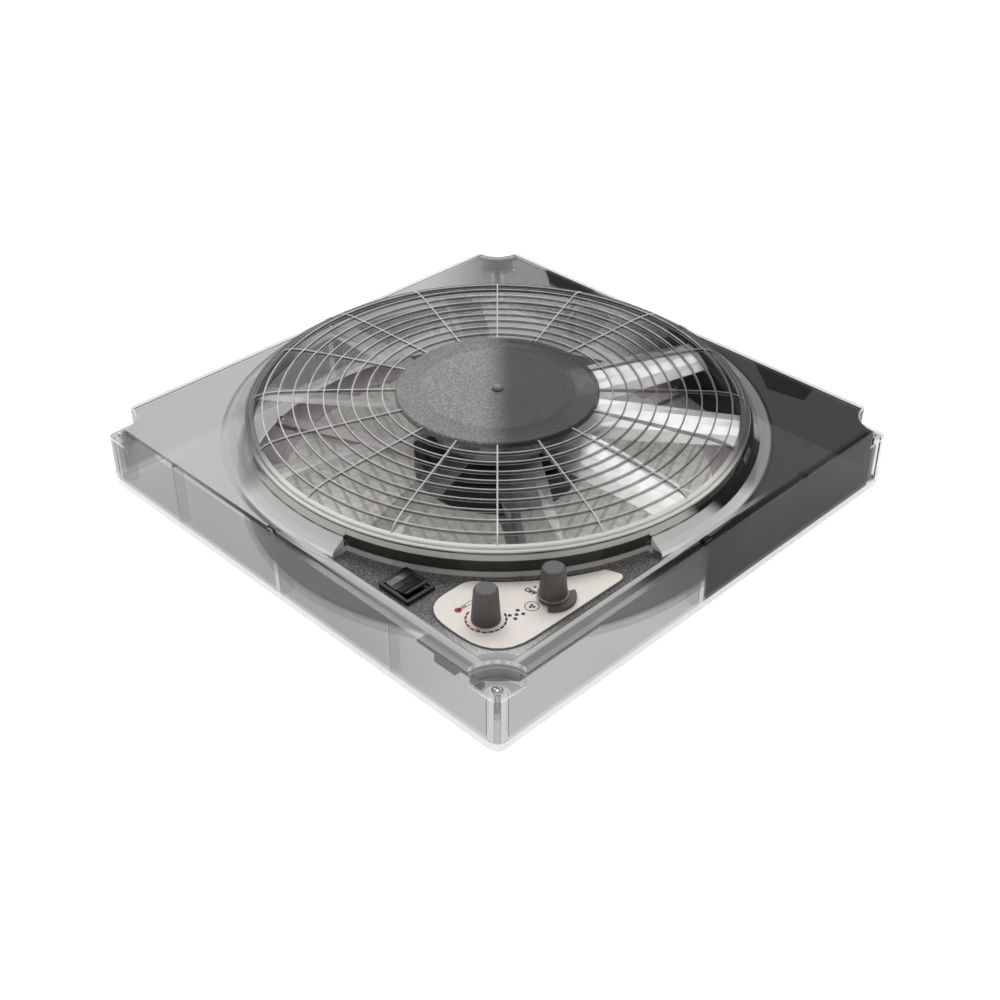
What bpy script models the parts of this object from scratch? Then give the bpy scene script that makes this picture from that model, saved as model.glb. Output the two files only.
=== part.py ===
"""Motorised roof-vent unit, interior side up: smoked clear frame, guard grille,
ten-blade fan on a 12 V motor, insect screen and a corner control panel.
Metres, +Z up, origin at the bottom centre of the square frame."""

import math

import bmesh
import bpy
from mathutils import Matrix

# Frame, heights above the ceiling face
SIDE = 0.440
DECK = 0.059
WALL = 0.0025
CORNER_R = 0.008
LEDGE = 0.0434
NOTCH_R = 0.0255
BOSS_AT = 0.2105
BOSS_R = 0.0075
# Round shroud that surrounds the fan
SHROUD_TOP = 0.0739
SHROUD_OUT = 0.1962
SHROUD_IN = 0.1935
SHROUD_LOW_OUT = 0.2050
SHROUD_LOW_IN = 0.2025
LIP_IN = 0.1925
LIP_TOP = 0.0050
SEAM = 0.0521
# Control recess
FLOOR = 0.0550
FLOOR_T = 0.0025
RECESS_EDGE = 0.2090
RECESS_END = 0.0430
POT_HOLE_R = 0.0038
# Grille
RIM_TOP = 0.0781
HUB_R = 0.0795
HUB_TOP = 0.0888
RIB_W = 0.0014
RIB_H = 0.0030
RINGS = (
    (0.0895, 0.0866), (0.1010, 0.0864), (0.1130, 0.0862), (0.1240, 0.0860),
    (0.1350, 0.0858), (0.1470, 0.0856), (0.1585, 0.0853), (0.1700, 0.0849),
    (0.1820, 0.0830),
)
SPOKES = 16
# Fan
BLADES = 10
BLADE_PHASE = math.radians(323.5)
BLADE_TIP = 0.1885
BLADE_T = 0.0016
FAN_Z = 0.0655
FAN_HUB_R = 0.0520
# Motor and its carrier
MOTOR_R = 0.0670
MOTOR_Z0 = 0.0128
MOTOR_Z1 = 0.0440
ARM_ANGLES = (83.0, 203.0, 323.0)
FOOT_R = 0.1970
# Controls
THERMO_AT = (0.1654, -0.1761)
SPEED_AT = (0.1813, -0.1285)
ROCKER_AT = (0.1035, -0.1902)
PADDLE_TILT = math.radians(7.0)
PADDLE_PIVOT_Z = 0.0560
BOARD_Z = 0.0390
BOARD_T = 0.0016
BOARD_BOSSES = ((0.1400, -0.2045), (0.2045, -0.1200))
GAP = 0.0003


def start():
    for obj in list(bpy.data.objects):
        bpy.data.objects.remove(obj, do_unlink=True)
    for old in list(bpy.data.collections):
        bpy.data.collections.remove(old)
    made = bpy.data.collections.new("roof_vent_fan")
    tools = bpy.data.collections.new("cutters")
    bpy.context.scene.collection.children.link(made)
    bpy.context.scene.collection.children.link(tools)
    tools.hide_render = True
    return made, tools


PARTS, CUTTERS = start()


def material(name, colour, roughness, metallic=0.0):
    mat = bpy.data.materials.get(name) or bpy.data.materials.new(name)
    mat.use_nodes = True
    shader = mat.node_tree.nodes["Principled BSDF"]
    shader.inputs["Base Color"].default_value = (*colour, 1.0)
    shader.inputs["Roughness"].default_value = roughness
    shader.inputs["Metallic"].default_value = metallic
    mat.diffuse_color = (*colour, 1.0)
    return mat


def place(name, mesh, mat=None, at=(0, 0, 0)):
    """A visible part with its material, or a hidden cutter when mat is None."""
    obj = bpy.data.objects.new(name, mesh)
    obj.location = at
    if mat is None:
        CUTTERS.objects.link(obj)
        obj.hide_render = True
        obj.display_type = "WIRE"
    else:
        PARTS.objects.link(obj)
        mesh.materials.clear()
        mesh.materials.append(mat)
        mesh.shade_smooth()
        mesh.set_sharp_from_angle(angle=math.radians(35))
    return obj


def mesh_of(bm, name):
    bmesh.ops.recalc_face_normals(bm, faces=bm.faces)
    mesh = bpy.data.meshes.new(name)
    bm.to_mesh(mesh)
    bm.free()
    return mesh


def join(name, meshes):
    bm = bmesh.new()
    for mesh in meshes:
        bm.from_mesh(mesh)
    return mesh_of(bm, name)


def block(name, low, high, edge_r=0.0, steps=3):
    """A box between two corners, its upright edges rounded by edge_r."""
    bm = bmesh.new()
    bmesh.ops.create_cube(bm, size=1.0)
    for vert in bm.verts:
        for i in range(3):
            vert.co[i] = low[i] if vert.co[i] < 0 else high[i]
    if edge_r:
        upright = [e for e in bm.edges
                   if abs(e.verts[0].co.z - e.verts[1].co.z) > 1e-6]
        bmesh.ops.bevel(bm, geom=upright, offset=edge_r, segments=steps,
                        affect="EDGES", profile=0.5)
    return mesh_of(bm, name)


def rod(name, r, z0, z1, at=(0, 0), segments=24, r_top=None):
    """An upright cylinder or cone from z0 to z1."""
    bm = bmesh.new()
    bmesh.ops.create_cone(bm, cap_ends=True, segments=segments, radius1=r,
                          radius2=r if r_top is None else r_top, depth=z1 - z0)
    bmesh.ops.translate(bm, verts=bm.verts, vec=(at[0], at[1], (z0 + z1) / 2))
    return mesh_of(bm, name)


def turned(name, profile, steps=64, closed=False, at=(0, 0)):
    """Turns (radius, height) points about Z with a Screw modifier."""
    bm = bmesh.new()
    verts = [bm.verts.new((r, 0, z)) for r, z in profile]
    for a, b in zip(verts, verts[1:] + verts[:1] if closed else verts[1:]):
        bm.edges.new((a, b))
    line = bpy.data.meshes.new(name + "_profile")
    bm.to_mesh(line)
    bm.free()
    obj = bpy.data.objects.new(name + "_profile", line)
    CUTTERS.objects.link(obj)
    screw = obj.modifiers.new("Screw", "SCREW")
    screw.axis = "Z"
    screw.angle = 2 * math.pi
    screw.steps = screw.render_steps = steps
    screw.use_merge_vertices = True
    screw.merge_threshold = 0.00001
    graph = bpy.context.evaluated_depsgraph_get()
    mesh = bpy.data.meshes.new_from_object(obj.evaluated_get(graph))
    bpy.data.objects.remove(obj, do_unlink=True)
    bm = bmesh.new()
    bm.from_mesh(mesh)
    bmesh.ops.remove_doubles(bm, verts=bm.verts, dist=0.00001)
    bmesh.ops.translate(bm, verts=bm.verts, vec=(at[0], at[1], 0))
    return mesh_of(bm, name)


def curve_mesh(curve, name, turn=None):
    obj = bpy.data.objects.new(name + "_curve", curve)
    CUTTERS.objects.link(obj)
    graph = bpy.context.evaluated_depsgraph_get()
    mesh = bpy.data.meshes.new_from_object(obj.evaluated_get(graph))
    bpy.data.objects.remove(obj, do_unlink=True)
    bm = bmesh.new()
    bm.from_mesh(mesh)
    bmesh.ops.remove_doubles(bm, verts=bm.verts, dist=0.00001)
    if turn is not None:
        bm.transform(turn)
    return mesh_of(bm, name)


def plate(name, outlines, z0, z1):
    """A flat plate from closed outlines; each outline after the first is a hole."""
    curve = bpy.data.curves.new(name, "CURVE")
    curve.dimensions = "2D"
    curve.fill_mode = "BOTH"
    curve.extrude = (z1 - z0) / 2
    for points in outlines:
        spline = curve.splines.new("POLY")
        spline.points.add(len(points) - 1)
        for point, (x, y) in zip(spline.points, points):
            point.co = (x, y, 0, 1)
        spline.use_cyclic_u = True
    return curve_mesh(curve, name, Matrix.Translation((0, 0, (z0 + z1) / 2)))


def tube(name, points, r, sides=3):
    curve = bpy.data.curves.new(name, "CURVE")
    curve.dimensions = "3D"
    curve.bevel_depth = r
    curve.bevel_resolution = sides
    curve.use_fill_caps = True
    spline = curve.splines.new("POLY")
    spline.points.add(len(points) - 1)
    for point, co in zip(spline.points, points):
        point.co = (*co, 1)
    return curve_mesh(curve, name)


def boolean(obj, mesh, operation="DIFFERENCE"):
    tool = mesh
    if not isinstance(mesh, bpy.types.Object):
        tool = place(mesh.name, mesh)
    step = obj.modifiers.new(tool.name, "BOOLEAN")
    step.operation = operation
    step.solver = "EXACT"
    step.object = tool
    return tool


def polar(r, degrees, centre=(0, 0)):
    a = math.radians(degrees)
    return centre[0] + r * math.cos(a), centre[1] + r * math.sin(a)


def arc(r, start_deg, end_deg, count, centre=(0, 0)):
    return [polar(r, start_deg + (end_deg - start_deg) * i / count, centre)
            for i in range(count + 1)]


def rounded(points, radii, count=4):
    """Rounds each corner of an outline with a quadratic curve."""
    out = []
    for i, (point, r) in enumerate(zip(points, radii)):
        if not r:
            out.append(point)
            continue
        ends = []
        for other in (points[i - 1], points[(i + 1) % len(points)]):
            length = math.dist(point, other)
            k = min(r / length, 0.5)
            ends.append([p + (o - p) * k for p, o in zip(point, other)])
        for j in range(count + 1):
            t = j / count
            out.append(tuple((1 - t) ** 2 * a + 2 * t * (1 - t) * p + t * t * b
                             for a, p, b in zip(ends[0], point, ends[1])))
    return out


def lathe_box(r_in, r_out, z0, z1):
    return [(r_in, z1), (r_out, z1), (r_out, z0), (r_in, z0)]


SMOKED = material("smoked_clear", (0.32, 0.32, 0.33), 0.15)
GRILLE = material("grille_grey", (0.62, 0.62, 0.60), 0.35)
BLADE = material("blade_milky", (0.80, 0.81, 0.80), 0.30)
BLACK = material("satin_black", (0.02, 0.02, 0.022), 0.35)
KNOB = material("knob_grey", (0.09, 0.08, 0.078), 0.5)
CREAM = material("label_cream", (0.86, 0.82, 0.76), 0.6)
FRAME = material("screen_frame_grey", (0.42, 0.38, 0.38), 0.5)
MESH = material("mesh_tan", (0.45, 0.42, 0.36), 0.7)
ARM = material("carrier_grey", (0.40, 0.36, 0.37), 0.5)
CAN = material("motor_black", (0.03, 0.03, 0.03), 0.4, 0.3)
CAP = material("motor_cap", (0.05, 0.05, 0.055), 0.5)
STEEL = material("screw_steel", (0.75, 0.75, 0.74), 0.25, 1.0)
SHAFT = material("shaft_steel", (0.60, 0.60, 0.60), 0.3, 1.0)
BRASS = material("bearing_brass", (0.70, 0.52, 0.26), 0.35, 1.0)
BOARD = material("board_white", (0.62, 0.63, 0.61), 0.5)
POT = material("pot_zinc", (0.55, 0.55, 0.53), 0.35, 0.8)
SLEEVE = material("capacitor_sleeve", (0.30, 0.31, 0.33), 0.35)
TERMINAL = material("terminal_grey", (0.42, 0.43, 0.42), 0.45)
FUSE = material("fuse_tan", (0.70, 0.42, 0.16), 0.3)
BEAD = material("sensor_bead", (0.12, 0.05, 0.03), 0.4)
LEAD = material("lead_black", (0.025, 0.025, 0.025), 0.5)


# ---- Frame -----------------------------------------------------------------
def corners(reach):
    return [(sx * reach, sy * reach) for sx in (-1, 1) for sy in (-1, 1)]


def frame():
    half = SIDE / 2
    body = place("frame", block("frame", (-half, -half, 0), (half, half, DECK),
                                CORNER_R, 4), SMOKED)
    flare = [(0.2, DECK - 0.002), (0.2160, DECK - 0.002), (0.2160, DECK + 0.0004),
             (0.2095, DECK + 0.0018), (0.2040, DECK + 0.0045),
             (0.2000, DECK + 0.0085), (0.1975, DECK + 0.0120),
             (SHROUD_OUT, SHROUD_TOP)]
    blank = [(0, SHROUD_TOP)] + flare[::-1][:-1] + [(0, DECK - 0.002)]
    boolean(body, turned("shroud_blank", blank, 64), "UNION")

    # Hollow between the skirt and the shroud
    inner = half - WALL
    hollow = place("hollow", block("hollow", (-inner, -inner, -0.001),
                                   (inner, inner, DECK - WALL), CORNER_R - WALL, 4))
    keep = [(0, DECK), (SHROUD_OUT + 0.0003, DECK), (SHROUD_OUT + 0.0003, 0.0555),
            (0.2004, SEAM), (0, SEAM)]
    boolean(hollow, turned("collar_keep", keep, 64))
    pillars = [rod("pillar", NOTCH_R + WALL, LEDGE - WALL, DECK + 0.001, at, 24)
               for at in corners(half)]
    bosses = [rod("boss", BOSS_R, 0.004, LEDGE, at, 16)
              for at in corners(BOSS_AT)]
    boolean(hollow, join("pillars", pillars))
    boolean(hollow, join("bosses", bosses))
    pad = rounded([(RECESS_END - WALL, -0.150), (RECESS_END - WALL, -inner - 0.001),
                   (inner + 0.001, -inner - 0.001), (inner + 0.001, -RECESS_END + WALL),
                   (0.150, -RECESS_END + WALL), (0.100, -0.100)], [0] * 6)
    boolean(hollow, plate("recess_pad", [pad], FLOOR - FLOOR_T, DECK + 0.001))
    board_bosses = [rod("board_boss", 0.0032, BOARD_Z + BOARD_T + GAP, DECK, at, 16)
                    for at in BOARD_BOSSES]
    boolean(hollow, join("board_bosses", board_bosses))
    ribs = []
    for i in range(4):
        turn = i * math.pi / 2
        for along, depth in ((-0.1316, 0.012), (0.1130, 0.012), (-0.0090, 0.0145)):
            if i == 1 and along < -0.1:
                continue  # the circuit board sits here
            width = 0.0015 if depth < 0.013 else 0.006
            mesh = block("rib", (along - width / 2, -half + 0.001, 0.0),
                         (along + width / 2, -half + depth, DECK - 0.001))
            bm = bmesh.new()
            bm.from_mesh(mesh)
            bmesh.ops.rotate(bm, verts=bm.verts, cent=(0, 0, 0),
                             matrix=rotation(turn))
            ribs.append(mesh_of(bm, "rib"))
    boolean(hollow, join("ribs", ribs))
    boolean(body, hollow)

    # Air path through the middle
    path = [(0, 0.080), (SHROUD_IN, 0.080), (SHROUD_IN, 0.0555),
            (0.1974, SEAM), (0.1974, 0.050), (0, 0.050)]
    boolean(body, turned("air_path", path, 64))

    tabs = []
    for i in range(4):
        bm = bmesh.new()
        bm.from_mesh(block("tab", (-0.0130, -0.2190, DECK - 0.0010),
                           (-0.0060, -0.2145, DECK + 0.0022)))
        bmesh.ops.rotate(bm, verts=bm.verts, cent=(0, 0, 0),
                         matrix=rotation(i * math.pi / 2))
        tabs.append(mesh_of(bm, "tab"))
    boolean(body, join("tabs", tabs), "UNION")

    boolean(body, join("notches", [
        rod("notch", NOTCH_R, LEDGE, DECK + 0.01, at, 24) for at in corners(half)]))

    e, s, r = RECESS_EDGE, RECESS_END, 0.1966
    first = -math.degrees(math.acos(s / r))
    last = -math.degrees(math.asin(s / r))
    near = arc(0.0325, 159, 111, 6, (half, -half))
    outline = arc(r, first, last, 18) + arc(0.008, 90, 0, 5, (e - 0.008, -s - 0.008))
    outline += near[::-1] + arc(0.008, 270, 180, 5, (s + 0.008, -e + 0.008))
    boolean(body, plate("recess", [outline], FLOOR, SHROUD_TOP + 0.01))

    holes = [rod("screw_hole", 0.0023, 0.020, DECK, at, 12)
             for at in corners(BOSS_AT)]
    holes += [rod("board_hole", 0.0012, 0.038, 0.0500, at, 12)
              for at in BOARD_BOSSES]
    holes += [rod("pot_hole", POT_HOLE_R, 0.0500, 0.0600, at, 20)
              for at in (THERMO_AT, SPEED_AT)]
    x, y = ROCKER_AT
    holes.append(block("rocker_hole", (x - 0.0102, y - 0.0109, 0.050),
                       (x + 0.0102, y + 0.0069, 0.060)))
    boolean(body, join("holes", holes))


def shroud():
    """Round tub under the collar, with the lip that carries the screen."""
    top = SEAM - GAP
    profile = [(0.1977, top), (0.2010, 0.0475), (SHROUD_LOW_IN, 0.0420),
               (SHROUD_LOW_IN, LIP_TOP), (LIP_IN, LIP_TOP), (LIP_IN, 0.0),
               (SHROUD_LOW_OUT, 0.0), (SHROUD_LOW_OUT, 0.0420), (0.2035, 0.0475),
               (0.2006, top)]
    body = place("shroud", turned("shroud", profile, 64, closed=True), SMOKED)
    boolean(body, join("foot_holes", [
        rod("foot_hole", 0.0015, 0.0012, 0.010, polar(FOOT_R, a), 12)
        for a in ARM_ANGLES]))
    boolean(body, tube("lead_hole", [(0.150, -0.128, 0.022),
                                     (0.170, -0.1365, 0.022)], 0.0030))


def rotation(angle):
    return Matrix.Rotation(angle, 3, "Z")


frame()
shroud()


# ---- Grille ----------------------------------------------------------------
def grille():
    hub = [(0.012, HUB_TOP - 0.0018), (0.035, HUB_TOP - 0.0006),
           (0.076, HUB_TOP - 0.0001), (HUB_R, HUB_TOP - 0.0016),
           (HUB_R, HUB_TOP - 0.0052), (HUB_R - 0.002, HUB_TOP - 0.0052),
           (HUB_R - 0.002, HUB_TOP - 0.0024), (0.035, HUB_TOP - 0.0028),
           (0.012, HUB_TOP - 0.0042), (0.0022, HUB_TOP - 0.0044),
           (0.0022, HUB_TOP - 0.0020)]
    body = place("grille", turned("grille", hub, 48, True), GRILLE)
    rim = [(0.1912, RIM_TOP), (0.1950, RIM_TOP), (0.1962, RIM_TOP - 0.0012),
           (0.1962, SHROUD_TOP + GAP), (0.1930, SHROUD_TOP + GAP),
           (0.1925, 0.0712), (0.1912, 0.0712)]
    hoops = [turned("rim", rim, 64, True)]
    for r, z in RINGS:
        hoops.append(turned("ring", [(r - RIB_W / 2, z), (r + RIB_W / 2, z),
                                     (r, z - RIB_H)], 40, True))
    boolean(body, join("hoops", hoops), "UNION")
    top = [(HUB_R - 0.001, 0.0869), (0.1700, 0.0846), (0.1820, 0.0827),
           (0.1890, 0.0802), (0.1918, 0.0776)]
    low = [(0.1918, 0.0730), (0.1885, 0.0768), (0.1815, 0.0802),
           (0.1700, 0.0821), (HUB_R - 0.001, 0.0842)]
    bars = []
    for i in range(SPOKES):
        bm = bmesh.new()
        sides = [[bm.verts.new((r, y, z)) for r, z in top + low]
                 for y in (-RIB_W / 2, RIB_W / 2)]
        n = len(sides[0])
        for k in range(n):
            bm.faces.new((sides[0][k], sides[0][(k + 1) % n],
                          sides[1][(k + 1) % n], sides[1][k]))
        for k in range(4):
            for side in sides:
                bm.faces.new((side[k], side[k + 1], side[n - 2 - k], side[n - 1 - k]))
        bmesh.ops.rotate(bm, verts=bm.verts, cent=(0, 0, 0),
                         matrix=rotation(math.radians(315 + i * 360 / SPOKES)))
        bars.append(mesh_of(bm, "bar"))
    boolean(body, join("bars", bars), "UNION")
    cap = [(0, HUB_TOP + 0.0016), (0.0026, HUB_TOP + 0.0013), (0.0042, HUB_TOP),
           (0.0042, HUB_TOP - 0.0017), (0.0017, HUB_TOP - 0.0017),
           (0.0017, HUB_TOP - 0.0070), (0, HUB_TOP - 0.0070)]
    place("grille_screw", turned("grille_screw", cap, 16), STEEL)


grille()


# ---- Screen and its frame --------------------------------------------------
def screen():
    ring = place("screen_frame", turned("screen_frame", [
        (0.1730, 0.0083), (0.1760, 0.0086), (0.2018, 0.0086),
        (0.2018, LIP_TOP + GAP), (0.1730, LIP_TOP + GAP)], 72, True), FRAME)
    boolean(ring, join("screen_holes", [
        rod("screen_hole", 0.0021, 0.001, 0.02, polar(FOOT_R, a), 12)
        for a in ARM_ANGLES]))
    place("insect_screen", rod("insect_screen", 0.1726, 0.0060, 0.0068,
                               segments=64), MESH)


screen()


# ---- Motor and carrier -----------------------------------------------------
def motor():
    z0, z1 = 0.0089, 0.0119
    arms = []
    for a in ARM_ANGLES:
        shape = rounded([(0.020, -0.014), (0.070, -0.0075), (0.2005, -0.0060),
                         (0.2005, 0.0060), (0.070, 0.0085), (0.020, 0.014)],
                        [0, 0.02, 0.006, 0.006, 0.02, 0])
        turn = math.radians(a)
        shape = [(x * math.cos(turn) - y * math.sin(turn),
                  x * math.sin(turn) + y * math.cos(turn)) for x, y in shape]
        arms.append(plate("arm", [shape], z0, z1))
    carrier = place("motor_carrier", turned("motor_carrier", lathe_box(
        0.0120, 0.0440, z0 - 0.0010, z1 + 0.0004), 32, True), ARM)
    for arm in arms:
        boolean(carrier, arm, "UNION")
    holes = [rod("arm_hole", 0.0021, 0.001, 0.02, polar(FOOT_R, a), 12)
             for a in ARM_ANGLES]
    holes.append(rod("carrier_bore", 0.0125, 0.001, 0.02, segments=32))
    boolean(carrier, join("arm_holes", holes))
    for i, a in enumerate(ARM_ANGLES):
        x, y = polar(FOOT_R, a)
        screw("carrier_screw_%d" % (i + 1), x, y, z1 + GAP, 0.0034, 0.0013, 0.0090)
    top = MOTOR_Z1
    place("motor_can", turned("motor_can", [
        (0, top - 0.0050), (0.0640, top - 0.0050), (MOTOR_R, top - 0.0075),
        (MOTOR_R, MOTOR_Z0 + 0.0020), (MOTOR_R - 0.002, MOTOR_Z0),
        (0, MOTOR_Z0)], 48), CAN)
    place("motor_end_cap", turned("motor_end_cap", [
        (0.0040, top + 0.0030), (0.0110, top + 0.0030), (0.0125, top),
        (0.0580, top), (0.0600, top - 0.0015), (0.0600, top - 0.0047),
        (0.0040, top - 0.0047)], 32, True), CAP)


    place("motor_bearing", turned("motor_bearing", lathe_box(
        0.0021, 0.0037, 0.0400, 0.0465), 20, True), BRASS)


def screw(name, x, y, z, head_r, shank_r, length, flip=1):
    """A pan-head cross-recess screw whose head sits on height z."""
    h = head_r * 0.6
    body = place(name, turned(name, [
        (0, z + flip * h), (head_r * 0.6, z + flip * h * 0.9),
        (head_r, z + flip * h * 0.4), (head_r, z), (shank_r, z),
        (shank_r, z - flip * (length - shank_r)), (0, z - flip * length)],
        14, at=(x, y)), STEEL)
    w, d = head_r * 0.16, head_r * 0.55
    lo, hi = sorted((z + flip * h * 0.45, z + flip * (h + 0.001)))
    slot = place(name + "_slot", block("slot", (x - w, y - d, lo), (x + w, y + d, hi)))
    boolean(slot, block("slot_b", (x - d, y - w, lo + 0.00001),
                        (x + d, y + w, hi + 0.00001)), "UNION")
    boolean(body, slot)
    return body


motor()


# ---- Fan -------------------------------------------------------------------
def blade(phase):
    """One paddle: a twisted, slightly cambered plate lofted from root to tip."""
    stations = ((0.0505, 0.026, 30), (0.070, 0.036, 26), (0.110, 0.037, 20),
                (0.150, 0.035, 16), (BLADE_TIP, 0.033, 13))
    bm = bmesh.new()
    loops = []
    for r, chord, pitch in stations:
        p = math.radians(pitch)
        upper, lower = [], []
        for i in range(5):
            s = i / 4 - 0.5
            camber = 0.0022 * (1 - 4 * s * s)
            t = BLADE_T * (0.5 if i in (0, 4) else 1.0)
            for out, dz in ((upper, t / 2), (lower, -t / 2)):
                y = chord * s * math.cos(p) + 0.0034
                z = chord * s * math.sin(p) + camber + dz + FAN_Z
                out.append(bm.verts.new((r, y, z)))
        loops.append(upper + lower[::-1])
    n = len(loops[0])
    for a, b in zip(loops, loops[1:]):
        for i in range(n):
            bm.faces.new((a[i], a[(i + 1) % n], b[(i + 1) % n], b[i]))
    for loop in (loops[0], loops[-1]):
        for i in range(4):
            bm.faces.new((loop[i], loop[i + 1], loop[n - 2 - i], loop[n - 1 - i]))
    bmesh.ops.rotate(bm, verts=bm.verts, cent=(0, 0, 0), matrix=rotation(phase))
    return mesh_of(bm, "blade")


def fan():
    cup = [(0.0024, 0.0740), (0.0110, 0.0740), (0.0120, 0.0752), (0.0400, 0.0752),
           (0.0480, 0.0740), (FAN_HUB_R, 0.0705), (FAN_HUB_R, 0.0530),
           (FAN_HUB_R - 0.002, 0.0530), (FAN_HUB_R - 0.002, 0.0700),
           (0.0470, 0.0722), (0.0120, 0.0728), (0.0080, 0.0720),
           (0.0080, 0.0540), (0.0024, 0.0540)]
    body = place("fan", turned("fan", cup, 40, True), BLADE)
    blades = [blade(BLADE_PHASE + i * 2 * math.pi / BLADES) for i in range(BLADES)]
    boolean(body, join("blades", blades), "UNION")
    place("fan_shaft", turned("fan_shaft", [
        (0, 0.0790), (0.0016, 0.0790), (0.0020, 0.0785), (0.0020, 0.0400),
        (0, 0.0400)], 20), SHAFT)
    place("fan_nut", turned("fan_nut", [
        (0.0024, 0.0775), (0.0050, 0.0775), (0.0058, 0.0768), (0.0058, 0.0744),
        (0.0024, 0.0744)], 6, True), STEEL)


fan()


# ---- Corner screws ---------------------------------------------------------
for index, (cx, cy) in enumerate(corners(BOSS_AT)):
    screw("corner_screw_%d" % (index + 1), cx, cy, LEDGE + GAP,
          0.0040, 0.0019, 0.0200)


# ---- Controls --------------------------------------------------------------
def knob(name, at, z0, base_r, top_r, height, flange=None):
    x, y = at
    z1 = z0 + height
    edge = 0.0018
    side = [(0, z1), (top_r - edge, z1), (top_r - edge * 0.35, z1 - edge * 0.3),
            (top_r, z1 - edge), (base_r, z0), (0.0078, z0), (0.0078, z0 + 0.0040),
            (0.0032, z0 + 0.0040), (0.0032, z0 + 0.0145), (0, z0 + 0.0145)]
    mesh = turned(name, side, 32)
    body = place(name, mesh, KNOB, (x, y, 0))
    if flange:
        r, start_deg, end_deg = flange
        shape = arc(r, start_deg, end_deg, 10) + [polar(base_r - 0.0015, end_deg),
                                                  polar(base_r - 0.0015, start_deg)]
        tool = place(name + "_flange", plate(name + "_flange", [shape],
                                             z0 + 0.00001, z0 + 0.0026), at=(x, y, 0))
        boolean(body, tool, "UNION")
    return body


def label():
    points = arc(0.2024, -46.4, -23.5, 12)
    points += [(0.2010, -0.0745), (0.2000, -0.2000), (0.1270, -0.1995),
               (0.1270, -0.1560)]
    return rounded(points, [0] * 13 + [0.009, 0.034, 0.028, 0.008], 7)


def controls():
    holes = [arc(0.0043, 0, 337.5, 15, at) for at in (THERMO_AT, SPEED_AT)]
    place("control_label", plate("control_label", [label()] + holes,
                                 FLOOR + GAP, FLOOR + 0.0009), CREAM)
    base = FLOOR + 0.0012
    knob("thermostat_knob", THERMO_AT, base, 0.0101, 0.0084, 0.0258)
    knob("speed_knob", SPEED_AT, base, 0.0101, 0.0084, 0.0258, (0.0160, -60, 65))
    for name, (x, y) in (("thermostat_pot", THERMO_AT), ("speed_switch", SPEED_AT)):
        under = FLOOR - FLOOR_T - GAP
        place(name, turned(name, [
            (0.0025, FLOOR + 0.0004), (0.0034, FLOOR + 0.0004),
            (0.0034, under - 0.0002), (0.0082, under - 0.0002),
            (0.0085, under - 0.0010), (0.0085, BOARD_Z + BOARD_T + GAP),
            (0.0025, BOARD_Z + BOARD_T + GAP)], 24, True, (x, y)), POT)
    for name, (x, y) in (("thermostat_spindle", THERMO_AT),
                         ("speed_spindle", SPEED_AT)):
        place(name, turned(name, [
            (0, FLOOR + 0.0150), (0.0026, FLOOR + 0.0150), (0.0029, FLOOR + 0.0145),
            (0.0029, FLOOR + 0.0008), (0.00218, FLOOR + 0.0008),
            (0.00218, BOARD_Z + BOARD_T + 0.0010), (0, BOARD_Z + BOARD_T + 0.0010)],
            20), SHAFT, (x, y, 0))


controls()


def rocker():
    x, y = ROCKER_AT
    z = FLOOR + GAP
    shell = place("rocker_body", block("rocker_body", (x - 0.0150, y - 0.0130, z),
                                       (x + 0.0150, y + 0.0130, z + 0.0030),
                                       0.0010, 2), BLACK)
    boolean(shell, block("rocker_case", (x - 0.0099, y - 0.0106, 0.0400),
                         (x + 0.0099, y + 0.0066, z + 0.0010)), "UNION")
    boolean(shell, block("rocker_well", (x - 0.0092, y - 0.0090, 0.0490),
                         (x + 0.0092, y + 0.0050, z + 0.0020)))
    boolean(shell, block("rocker_mouth", (x - 0.0122, y - 0.0103, z + 0.0012),
                         (x + 0.0122, y + 0.0103, z + 0.0100)))
    lugs = [block("lug", (x + dx - 0.0016, y - 0.0098, 0.0345),
                  (x + dx + 0.0016, y - 0.0092, 0.0410)) for dx in (-0.0065, 0, 0.0065)]
    boolean(shell, join("rocker_lugs", lugs), "UNION")

    tilt = PADDLE_TILT
    bm = bmesh.new()
    crown = [(-0.0116, 0.0024), (-0.0106, 0.0040), (-0.0055, 0.0026),
             (0.0, 0.0022), (0.0055, 0.0026), (0.0106, 0.0040), (0.0116, 0.0024),
             (0.0, 0.0001)]
    ends = [[bm.verts.new((u, v, w)) for u, w in crown] for v in (-0.0098, 0.0098)]
    n = len(crown)
    for k in range(n):
        bm.faces.new((ends[0][k], ends[0][(k + 1) % n],
                      ends[1][(k + 1) % n], ends[1][k]))
    for end in ends:
        bm.faces.new(end)
    bmesh.ops.rotate(bm, verts=bm.verts, cent=(0, 0, 0), matrix=tilted(-tilt))
    place("rocker_paddle", mesh_of(bm, "rocker_paddle"), BLACK,
          (x, y, PADDLE_PIVOT_Z + 0.0008))


def tilted(angle):
    return Matrix.Rotation(angle, 3, "Y")


rocker()


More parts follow.
